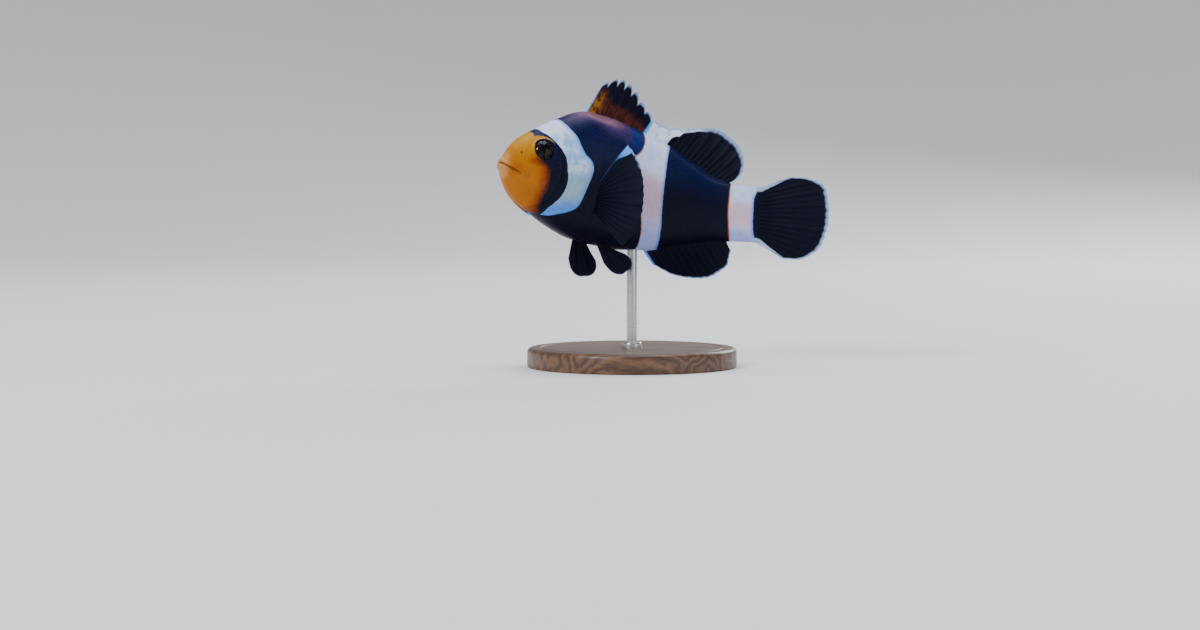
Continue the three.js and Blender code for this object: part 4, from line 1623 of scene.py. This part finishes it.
    def unwrap(self, mesh: bpy.types.Mesh, distance: Array, angle: Array, along: Array, across: Array) -> None:
        """Gives each scale a small patch at its root's place on the body's own unwrap.

        Args:
            mesh: The scales' mesh.
            distance: From the snout to each scale's root.
            angle: Of each scale, round the section.
            along: Each point's way out along its scale.
            across: Each point's way across its scale.
        """
        room = 1 - 2 * self.patch_margin
        root = np.stack([room * distance / (1.1 * BODY_LENGTH), room * (angle / ROUND) % 1], -1) + self.patch_margin
        local = np.stack([along / along.max() - 0.5, across / (2 * np.abs(across).max())], -1)
        both = np.tile(local.reshape(-1, 2) * self.patch, (2, 1))
        places = (root[:, None] + both[None]).reshape(-1, 2)
        corners = np.zeros(len(mesh.loops), np.int32)
        mesh.loops.foreach_get("vertex_index", corners)
        layer = mesh.uv_layers.new(name=BAKE_MAP)
        layer.data.foreach_set("uv", places[corners].astype(np.float32).ravel())


# ==== Fins ====


@dataclass
class Fin:
    """A fin: a thin membrane with a ridge along each ray, from its root in the flesh to its free edge.

    A fin's places are given as ray, which runs 0 to 1 along the root, and reach, which runs 0 to 1 out to the edge.
    """

    form: BodyForm
    name: str
    node: str
    slot: str
    rays: int
    lengths: SmoothCurve  # in millimetres, along the root
    notch: float = 0.03  # how far the membrane falls short between the rays, of their length
    branches: bool = True
    columns: int = 16  # between two rays
    steps: int = 64
    root_half: float = 0.36 * MM
    membrane_half: float = 0.07 * MM
    edge_half: float = 0.028 * MM
    ridge: float = 0.09 * MM
    pleat: float = 0.05 * MM
    joint: float = 0.42 * MM  # from one joint of a ray to the next
    root_reach: float = 0.16  # where the thick root ends, of the length
    lobed: bool = False  # the membrane falls away behind each ray's tip
    probe: float = 0.01  # the step along and out, to find the fin's slope

    def place(self, ray: Array, reach: Array) -> Array:
        """The fin's middle surface."""
        raise NotImplementedError

    def normal(self, ray: Array, reach: Array) -> Array:
        """The directions out of the fin's middle surface.

        Args:
            ray: Along the root.
            reach: Out to the edge.

        Returns:
            The directions, of length 1.
        """
        before, after = np.maximum(ray - self.probe, 0), np.minimum(ray + self.probe, 1)
        inside, outside = np.maximum(reach - self.probe, 0), np.minimum(reach + self.probe, 1)
        along_root = self.place(after, reach) - self.place(before, reach)
        return unit(np.cross(along_root, self.place(ray, outside) - self.place(ray, inside)))

    def ridges(self, between: Array, reach: Array) -> Array:
        """How strongly a ray stands out. Soft rays split in two, and each half splits again.

        Args:
            between: The offset from the nearest ray, in spaces between two rays.
            reach: Out to the edge.

        Returns:
            From 0 to 1.
        """
        width = mix(0.15, 0.1, reach)
        if not self.branches:
            return hump(between, 0, width) * mix(1.0, 0.6, reach)
        first, second = 0.19 * smooth(0.3, 1.0, reach), 0.075 * smooth(0.62, 1.0, reach)
        narrow = width * mix(1.0, 0.5, smooth(0.3, 0.95, reach))
        lines = [hump(between, i * first + j * second, narrow) for i in (-1, 1) for j in (-1, 1)]
        return np.maximum.reduce(lines) * mix(1.0, 0.55, reach)

    def root_thickness(self, ray: Array) -> Number:
        """Half of the thickness of the flesh at the fin's root."""
        return self.root_half

    def falls(self, ray: Array) -> Array:
        """How far the membrane falls short of the tips of the rays.

        Args:
            ray: Along the root.

        Returns:
            A share of the rays' length.
        """
        past = ray * (self.rays - 1) % 1.0
        if self.lobed:
            return self.notch * np.abs(2 * ((past + 0.16) % 1.0) - 1) ** 2.6
        return self.notch * (1 - np.abs(2 * past - 1) ** 1.8)

    def build(self, material: Material) -> Piece:
        """Makes the fin and dresses it.

        Args:
            material: The fin's finish.

        Returns:
            The fin.
        """
        spaces = self.rays - 1
        ray = np.linspace(0, 1, spaces * self.columns + 1)[:, None]
        level = np.linspace(0, 1, self.steps + 1)[None]
        fall = self.falls(ray)
        ray, reach = np.broadcast_arrays(ray, level * (1 - fall))
        on_ray = self.ridges(ray * spaces - np.rint(ray * spaces), reach)
        inner = mix(self.root_thickness(ray), self.membrane_half, smooth(0, self.root_reach, reach))
        half = mix(inner, self.edge_half, smooth(0.55, 1, level)) + self.ridge * on_ray * (1 - 0.75 * reach)
        half = (half * np.where(level == 1, 0.5, 1.0))[..., None]
        normal, wave = self.normal(ray, reach), np.cos(math.pi * ray * spaces) * smooth(0.1, 0.7, reach)
        middle = self.place(ray, reach)
        rows = np.linalg.norm(np.diff(middle, axis=0), axis=-1) / MM
        across = np.concatenate([np.zeros((1, reach.shape[1])), np.cumsum(rows, axis=0)])
        middle = middle + normal * (self.pleat * wave)[..., None]
        length = self.lengths(ray)
        values = {
            "reach": reach,
            "ray": ray,
            "to_edge": (1 - fall - reach) * length,
            "on_ray": np.clip(on_ray * 1.4 - 0.2, 0, 1),
            "out": reach * length * MM / self.joint,
            "from_front": across,
            "from_back": across[-1:] - across,
        }
        points = np.stack([middle + normal * half, middle - normal * half]).reshape(-1, 3)
        flat = {key: np.tile(v.ravel(), 2) for key, v in values.items()}
        piece = new_piece(self.name, points, [sheet_faces(*reach.shape)], flat)
        dress(piece, material, (self.node,))
        return piece


@dataclass
class MidlineFin(Fin):
    """A fin on the ridge of the back or the belly, its rays leaning back."""

    root: tuple[float, float] = (0, 1)
    leans: SmoothCurve = SmoothCurve(((0, 60), (1, 60)))
    side: int = 1  # 1 above, -1 below
    sways: SmoothCurve = SmoothCurve(((0, 0), (1, 0)))  # how far the free edge bends to the left, in millimetres
    sunk: float = 0.7 * MM

    def place(self, ray: Array, reach: Array) -> Array:
        """The fin's middle surface, its root sunk in the flesh.

        Args:
            ray: Along the root.
            reach: Out to the edge.

        Returns:
            The points.
        """
        distance, lean = mix(*self.root, ray) * BODY_LENGTH, np.radians(self.leans(ray))
        out = self.lengths(ray) * MM * reach
        bend = self.sways(ray) * MM * reach**2
        top, bottom = self.form.heights(distance)
        rise = mix(-self.sunk, GAP, reach) + out * np.sin(lean)
        up = (top if self.side > 0 else bottom) + self.side * rise
        return self.form.beside(distance + out * np.cos(lean), bend, up)


@dataclass
class TailFin(Fin):
    """The tail fin: its rays spread from the end of the body like a fan."""

    spread: SmoothCurve = SmoothCurve(((0, 20), (0.25, 12), (0.5, 1), (0.75, -10), (1, -27)))
    sway: float = 1.2 * MM
    sunk: float = 1.6 * MM
    inset: float = 0.03
    root_edge: float = 0.25 * MM  # half of the root's thickness above and below

    def root_thickness(self, ray: Array) -> Number:
        """Half of the thickness of the flesh at the fin's root, thickest at mid-height."""
        return mix(self.root_edge, self.root_half, np.sqrt(np.clip(1 - (2 * ray - 1) ** 2, 0, 1)))

    def place(self, ray: Array, reach: Array) -> Array:
        """The fin's middle surface, its root sunk in the end of the body.

        Args:
            ray: Along the root.
            reach: Out to the edge.

        Returns:
            The points.
        """
        angle, out = np.radians(self.spread(ray)), self.lengths(ray) * MM * reach
        top, bottom = self.form.heights(np.array(BODY_LENGTH))
        start = mix(top, bottom, mix(self.inset, 1 - self.inset, ray))
        bend = self.sway * reach**2 * np.sin(math.pi * mix(0.15, 1.05, ray))
        distance = BODY_LENGTH + mix(-self.sunk, GAP, np.minimum(reach * 8, 1)) + out * np.cos(angle)
        return self.form.beside(distance, bend, start + out * np.sin(angle))


@dataclass
class PairedFin(Fin):
    """One fin of a pair, rooted on the flank and spread from it."""

    side: int = 1  # 1 on the left, -1 on the right
    root_from: tuple[float, float] = (0, 0)  # along the body, and degrees round the section
    root_to: tuple[float, float] = (0, 0)
    lifts: SmoothCurve = SmoothCurve(((0, 0), (1, 0)))
    flare: float = 0.0
    cup: float = 0.0
    sunk: float = 1.2 * MM

    def place(self, ray: Array, reach: Array) -> Array:
        """The fin's middle surface, its root sunk in the flank.

        Args:
            ray: Along the root.
            reach: Out to the edge.

        Returns:
            The points.
        """
        place, angle = (mix(start, end, ray) for start, end in zip(self.root_from, self.root_to))
        distance, angle = place * BODY_LENGTH, np.radians(angle)
        angle = angle if self.side > 0 else math.pi - angle
        along, left, up = self.form.spine.axes(distance)
        lift = np.radians(self.lifts(ray))[..., None]
        swing = np.radians(self.flare + self.cup * reach)[..., None]
        back = along * np.cos(swing) + left * self.side * np.sin(swing)
        out = mix(-self.sunk, self.lengths(ray) * MM, reach)
        return self.form.point(distance, angle) + (back * np.cos(lift) + up * np.sin(lift)) * out[..., None]


@dataclass
class Fins:
    """All the fins of the fish."""

    form: BodyForm

    def midline(self) -> list[tuple[Fin, FinFinish]]:
        """The three lengths of the back fin, the anal fin and the tail fin.

        Returns:
            Each fin with its finish.
        """
        spines = MidlineFin(
            self.form, "dorsal_spines", "dorsal_fin_spines", "fin_brown", rays=8, branches=False, notch=0.16,
            lengths=SmoothCurve(((0, 8.2), (0.14, 9.9), (0.28, 10.7), (0.43, 10.1), (0.57, 9), (0.71, 7.3),
                                 (0.86, 5.8), (1, 4.2))),
            leans=SmoothCurve(((0, 68), (0.2, 72), (0.5, 74), (1, 66))), root=(0.319, 0.556),
            sways=SmoothCurve(((0, 0.4), (0.2, 0.5), (1, -0.4))), columns=28, ridge=0.16 * MM, pleat=0.08 * MM,
            lobed=True)
        dip = MidlineFin(
            self.form, "dorsal_dip", "dorsal_fin_notch", "fin_white", rays=4, branches=False, notch=0.13,
            lengths=SmoothCurve(((0, 4.2), (0.33, 3.8), (0.66, 4.3), (1, 6.3))),
            leans=SmoothCurve(((0, 66), (0.4, 71), (1, 64))), root=(0.5562, 0.6628),
            sways=SmoothCurve(((0, -0.4), (1, -1.1))), columns=28, steps=40, ridge=0.12 * MM, lobed=True)
        rays = MidlineFin(
            self.form, "dorsal_rays", "dorsal_fin_rays", "fin_black", rays=15, notch=0.012,
            lengths=SmoothCurve(((0, 6), (0.2, 9.2), (0.4, 11.2), (0.6, 11.4), (0.8, 9.6), (0.9, 7.3), (1, 3.4))),
            leans=SmoothCurve(((0, 64), (0.2, 62), (0.4, 55), (0.6, 46), (0.8, 38), (0.9, 30), (1, 17))),
            root=(0.662, 0.885), sways=SmoothCurve(((0, -1.1), (0.2, -1.4), (0.5, -0.8), (1, 1.1))))
        anal = MidlineFin(
            self.form, "anal_fin_rays", "anal_fin", "fin_black", rays=14, side=-1, notch=0.012,
            lengths=SmoothCurve(((0, 4.8), (0.2, 8.2), (0.5, 9.8), (0.8, 7.6), (1, 2.6))),
            leans=SmoothCurve(((0, 34), (0.3, 44), (0.7, 48), (1, 54))), root=(0.63, 0.91),
            sways=SmoothCurve(((0, 0.9), (0.2, 1.1), (0.5, 0.65), (1, -0.9))))
        tail = TailFin(
            self.form, "tail_fin_rays", "tail_fin", "fin_black", rays=17, steps=80, notch=0.01,
            root_half=1.22 * MM, root_reach=0.26,
            lengths=SmoothCurve(((0, 9.6), (0.1, 15), (0.25, 18.8), (0.5, 19.4), (0.75, 18.2), (0.9, 14.6), (1, 9))))
        return [
            (spines, FinFinish("fin_spiny", FinPattern.SPINY, margin_width=0.75, margin_clear=0.3)),
            (dip, FinFinish("fin_pale", FinPattern.PALE, margin_width=0.5, margin_clear=0.2)),
            (rays, FinFinish("fin_soft", FinPattern.SOFT, margin_width=1.3)),
            (anal, FinFinish("fin_anal", FinPattern.ANAL, margin_width=0.5, margin_clear=0.3)),
            (tail, FinFinish("fin_tail", FinPattern.TAIL, margin_width=1.0)),
        ]

    def paired(self) -> list[tuple[Fin, FinFinish]]:
        """The pectoral and the pelvic fins.

        Returns:
            Each fin with its finish.
        """
        made: list[tuple[Fin, FinFinish]] = []
        breast = FinFinish("fin_breast", FinPattern.PECTORAL, margin_width=0.5, margin_clear=0.3)
        hip = FinFinish("fin_hip", FinPattern.PLAIN, margin_width=0.3, margin_clear=0.2, margin=(0.10, 0.13, 0.24))
        for side, word, flare in ((1, "left", 80), (-1, "right", 52)):
            made.append((PairedFin(
                self.form, f"pectoral_rays_{word}", f"pectoral_fin_{word}", "fin_black", rays=16, side=side,
                lengths=SmoothCurve(((0, 11.6), (0.2, 12.9), (0.45, 13.8), (0.7, 14.3), (1, 12.5))),
                lifts=SmoothCurve(((0, 56), (0.5, 4), (1, -36))), root_from=(0.362, -3), root_to=(0.385, -34),
                flare=flare, cup=-12, notch=0.014), breast))
        for side, word, place, lean, flare, long in (
                (1, "left", 0.425, -36, 14, 11), (-1, "right", 0.388, -71, 20, 9.8)):
            shares = ((0, 0.6), (0.14, 0.86), (0.36, 1), (0.66, 0.99), (0.88, 0.84), (1, 0.6))
            made.append((PairedFin(
                self.form, f"pelvic_rays_{word}", f"pelvic_fin_{word}", "fin_black", rays=6, side=side,
                lengths=SmoothCurve(tuple((ray, share * long) for ray, share in shares)),
                lifts=SmoothCurve(((0, lean - 20), (1, lean + 28))), root_from=(place, -66),
                root_to=(place + 0.045, -76), flare=flare, cup=-10, notch=0.012, columns=24), hip))
        return made

    def build(self) -> None:
        """Makes every fin, with one material for each finish."""
        materials: dict[str, Material] = {}
        for fin, finish in self.midline() + self.paired():
            if finish.name not in materials:
                materials[finish.name] = finish.build()
            fin.build(materials[finish.name])


# ==== Eyes ====


@dataclass
class Eye:
    """One eye: an eyeball with its pupil and iris, under a clear cornea."""

    relief: HeadRelief
    left: bool
    radius: float = 2.6 * MM
    depth: float = 1.5 * MM
    sunk: float = 0.98 * MM
    cornea: float = 0.16 * MM
    segments: int = 96

    def ball(self, name: str, grow: float, deepen: float) -> Piece:
        """A ball flattened along the eye's axis and set in the head.

        Args:
            name: The piece's name.
            grow: How much wider than the eyeball.
            deepen: How much thicker than the eyeball.

        Returns:
            The ball.
        """
        spot, way = self.relief.spot(self.relief.eye_place, self.relief.eye_angle, self.left)
        bpy.ops.object.select_all(action="DESELECT")
        bpy.ops.mesh.primitive_uv_sphere_add(segments=self.segments, ring_count=self.segments // 2, radius=1.0)
        piece = bpy.context.object
        piece.name = piece.data.name = name
        bpy.ops.object.mode_set(mode="EDIT")
        bpy.ops.mesh.select_all(action="SELECT")
        wide = self.radius + grow
        bpy.ops.transform.resize(value=(wide, wide, self.depth + deepen))
        bpy.ops.object.mode_set(mode="OBJECT")
        flat = np.zeros(len(piece.data.vertices) * 3)
        piece.data.vertices.foreach_get("co", flat)
        x, y, z = flat.reshape(-1, 3).T
        layer = piece.data.attributes.new("from_axis", "FLOAT", "POINT")
        layer.data.foreach_set("value", np.where(z < 0, 1.0, np.hypot(x, y) / self.radius).astype(np.float32))
        piece.location = Vector(spot - way * self.sunk)
        piece.rotation_mode = "QUATERNION"
        piece.rotation_quaternion = Vector(way).to_track_quat("Z", "Y")
        bpy.ops.object.transform_apply(location=True, rotation=True, scale=True)
        piece.data.shade_smooth()
        return piece

    def build(self, ball: Material, cornea: Material) -> None:
        """Makes the eyeball and the cornea.

        Args:
            ball: The eyeball's finish.
            cornea: The cornea's finish.
        """
        word = "left" if self.left else "right"
        dress(self.ball(f"eyeball_{word}", 0.0, 0.0), ball, (f"eye_{word}",))
        dress(self.ball(f"cornea_{word}", self.cornea / 2, self.cornea), cornea, ())


# ==== Stand ====


@dataclass
class Stand:
    """A turned base of wood with a steel rod up to the belly, in a collar."""

    form: BodyForm
    base_radius: float = 27 * MM
    base_height: float = 5 * MM
    rounding: float = 1.2 * MM
    foot: float = 0.4 * MM
    line_inset: float = 2.2 * MM
    line_width: float = 0.25 * MM
    line_depth: float = 0.22 * MM
    middle_inset: float = 3 * MM
    rod_radius: float = 1.3 * MM
    rod_sunk: float = 0.3 * MM
    rod_inside: float = 0.5 * MM
    rod_rounding: float = 0.4 * MM
    ferrule_radius: float = 2.6 * MM
    ferrule_height: float = 1.4 * MM
    ferrule_sunk: float = 0.2 * MM
    ferrule_rounding: float = 0.5 * MM
    base_segments: int = 128
    rod_segments: int = 64
    same_level: float = 0.01 * MM
    smooth_angle: float = math.radians(40)

    def turned(self, name: str, radius: float, bottom: float, top: float, segments: int,
               *edges: tuple[float, float, int]) -> Piece:
        """An upright cylinder with rounded edges.

        Args:
            name: The piece's name.
            radius: Of the cylinder.
            bottom: Its lower end.
            top: Its upper end.
            segments: How many sides it has.
            edges: For each rounded edge its height, its rounding and the steps in that.

        Returns:
            The piece.
        """
        bpy.ops.object.select_all(action="DESELECT")
        bpy.ops.mesh.primitive_cylinder_add(
            vertices=segments, radius=radius, depth=top - bottom, location=(0, 0, (top + bottom) / 2))
        piece = bpy.context.object
        piece.name = piece.data.name = name
        bpy.ops.object.transform_apply(location=True, rotation=True, scale=True)
        for level, rounding, steps in edges:
            self.deselect(piece)
            heights = [vertex.co.z for vertex in piece.data.vertices]
            for edge in piece.data.edges:
                edge.select = all(abs(heights[i] - level) < self.same_level for i in edge.vertices)
            bpy.ops.object.mode_set(mode="EDIT")
            bpy.ops.mesh.select_mode(type="EDGE")
            bpy.ops.mesh.bevel(offset=rounding, segments=steps, profile=0.5)
            bpy.ops.object.mode_set(mode="OBJECT")
        return piece

    def deselect(self, piece: Piece) -> None:
        """Selects nothing of a piece's mesh, outside edit mode."""
        for kind in (piece.data.vertices, piece.data.edges, piece.data.polygons):
            kind.foreach_set("select", [False] * len(kind))

    def turned_line(self, piece: Piece) -> None:
        """Cuts a fine line into the top: insets of the top face, the narrow ring between them sunk.

        Args:
            piece: The base.
        """
        self.deselect(piece)
        top = max(piece.data.polygons, key=lambda face: (face.center.z > self.base_height * 0.9) * face.area)
        top.select = True
        bpy.ops.object.mode_set(mode="EDIT")
        bpy.ops.mesh.select_mode(type="FACE")
        for width, depth in ((self.line_inset, 0), (self.line_width, -self.line_depth),
                             (self.line_width, self.line_depth), (self.middle_inset, 0)):
            bpy.ops.mesh.inset(thickness=width, depth=depth)
        bpy.ops.object.mode_set(mode="OBJECT")

    def build(self) -> None:
        """Makes the base, the rod from it into the skin of the belly, and the collar round the rod's foot."""
        floor, rod_top = self.base_height, self.form.rod_top + self.rod_inside
        collar_top = floor + self.ferrule_height
        base = self.turned("base", self.base_radius, 0, floor, self.base_segments,
                           (floor, self.rounding, 8), (0, self.foot, 3))
        self.turned_line(base)
        rod = self.turned("rod", self.rod_radius, floor - self.rod_sunk, rod_top, self.rod_segments,
                          (rod_top, self.rod_rounding, 4))
        ferrule = self.turned("ferrule", self.ferrule_radius, floor - self.ferrule_sunk, collar_top,
                              self.rod_segments, (collar_top, self.ferrule_rounding, 5))
        wood, steel = WoodFinish().build(), SteelFinish().build()
        for piece, material, slot, nodes in (
                (base, wood, "stand_wood", ("stand_base",)), (rod, steel, "stand_steel", ("stand_rod",)),
                (ferrule, steel, "stand_steel", ())):
            bpy.ops.object.select_all(action="DESELECT")
            piece.select_set(True)
            bpy.context.view_layer.objects.active = piece
            bpy.ops.object.shade_smooth_by_angle(angle=self.smooth_angle)
            dress(piece, material, nodes)


# ==== Studio ====


@dataclass
class Studio:
    """A pale floor that curves up all round, soft lights and the camera."""

    distance: float = 600 * MM
    aside: float = 8.486 * MM
    height: float = 48 * MM
    yaw: float = 1.596
    pitch: float = 3.31
    lens: float = 70.0
    sensor: float = 36.0
    clip: tuple[float, float] = (0.01, 50)
    aim: tuple[float, float, float] = (0, 0, 45 * MM)  # of the lights
    flat_radius: float = 0.75
    rise_width: float = 1.75
    wall_height: float = 1.8
    floor_sides: int = 96
    floor_grey: tuple[Colour, Colour] = ((0.76, 0.77, 0.79), (0.80, 0.80, 0.81))
    sky: tuple[float, float, float, float] = (0.88, 0.90, 0.94, 1)
    sky_strength: float = 0.3

    def camera(self) -> None:
        """Adds the camera, level with the fish and far enough off for a long lens."""
        data = bpy.data.cameras.new("camera")
        data.lens, data.sensor_width = self.lens, self.sensor
        data.clip_start, data.clip_end = self.clip
        yaw, pitch = math.radians(self.yaw), math.radians(self.pitch)
        way = Vector((-math.sin(yaw) * math.cos(pitch), math.cos(yaw) * math.cos(pitch), -math.sin(pitch)))
        camera = added("camera", data)
        camera.location = (self.aside, -self.distance, self.height)
        camera.rotation_euler = way.to_track_quat("-Z", "Y").to_euler()
        bpy.context.scene.camera = camera

    def floor(self) -> None:
        """Adds the floor, a wide disc that curves up all round into a wall."""
        radius = np.concatenate([np.linspace(0.05, 1, 14) * self.flat_radius,
                                 self.flat_radius + np.linspace(0.03, 1, 40) * self.rise_width])[:, None]
        height = self.wall_height * np.clip((radius - self.flat_radius) / self.rise_width, 0, 1) ** 2.2
        around = np.linspace(0, ROUND, self.floor_sides + 1)[:-1]
        points = np.stack(np.broadcast_arrays(radius * np.cos(around), radius * np.sin(around), height), -1)
        faces = [grid_faces(len(radius), self.floor_sides, True), np.arange(self.floor_sides)[None]]
        floor = new_piece("floor", points.reshape(-1, 3), faces, {})
        material, g, shader = new_material("floor")
        g.feeds(shader, {"Base Color": g.blend(g.noise(0.2), *self.floor_grey), "Roughness": 0.75})
        floor.data.materials.append(material)

    def softbox(self, name: str, place: tuple[float, float, float], size: tuple[float, float], power: float,
                colour: Colour = (1, 1, 1)) -> None:
        """Adds a rectangular soft light that faces the fish.

        Args:
            name: The light's name.
            place: Its middle.
            size: Its width and height.
            power: In watts.
            colour: Of its light.
        """
        data = bpy.data.lights.new(name, "AREA")
        data.shape = "RECTANGLE"
        data.size, data.size_y = size
        data.energy, data.color = power, colour
        light = added(name, data)
        light.location = place
        light.rotation_euler = (Vector(self.aim) - Vector(place)).to_track_quat("-Z", "Y").to_euler()

    def build(self) -> None:
        """Adds the camera, the floor, the lights and a pale sky."""
        self.camera()
        self.floor()
        self.softbox("key", (-0.62, -0.72, 0.62), (0.4, 0.4), 8.0)
        self.softbox("top", (0.0, 0.12, 1.1), (1.1, 0.9), 13.0, (0.92, 0.95, 1.0))
        self.softbox("fill", (0.85, -0.65, 0.3), (0.6, 0.6), 1.6)
        self.softbox("rim", (0.45, 0.8, 0.45), (0.5, 0.35), 5.0, (0.9, 0.95, 1.0))
        world = bpy.data.worlds.new("studio")
        world.use_nodes = True
        background = world.node_tree.nodes["Background"]
        background.inputs["Color"].default_value = self.sky
        background.inputs["Strength"].default_value = self.sky_strength
        bpy.context.scene.world = world


# ==== The model ====


def main() -> None:
    """Builds the fish, its stand and the studio round the frame."""
    logging.basicConfig(level=logging.INFO, format="%(name)s: %(message)s")
    form = BodyForm()
    marks = Markings(form)
    relief = HeadRelief(form, marks)
    Studio().build()
    colours = BodyColours().build()
    bare = SkinFinish("skin_bare", (0.28, 0.46), 0.16 * MM, 0.018 * MM, scaly=False).build(colours)
    coat = SkinFinish("skin_scales", (0.24, 0.42), 0.1 * MM, 0.006 * MM, scaly=True).build(colours)
    Skin(form, relief, marks).build(bare)
    ScaleCoat(form, relief, marks).build(coat)
    Fins(form).build()
    ball, cornea = EyeFinish().build(), CorneaFinish().build()
    for left in (True, False):
        Eye(relief, left).build(ball, cornea)
    Stand(form).build()


if __name__ == "__main__":
    main()
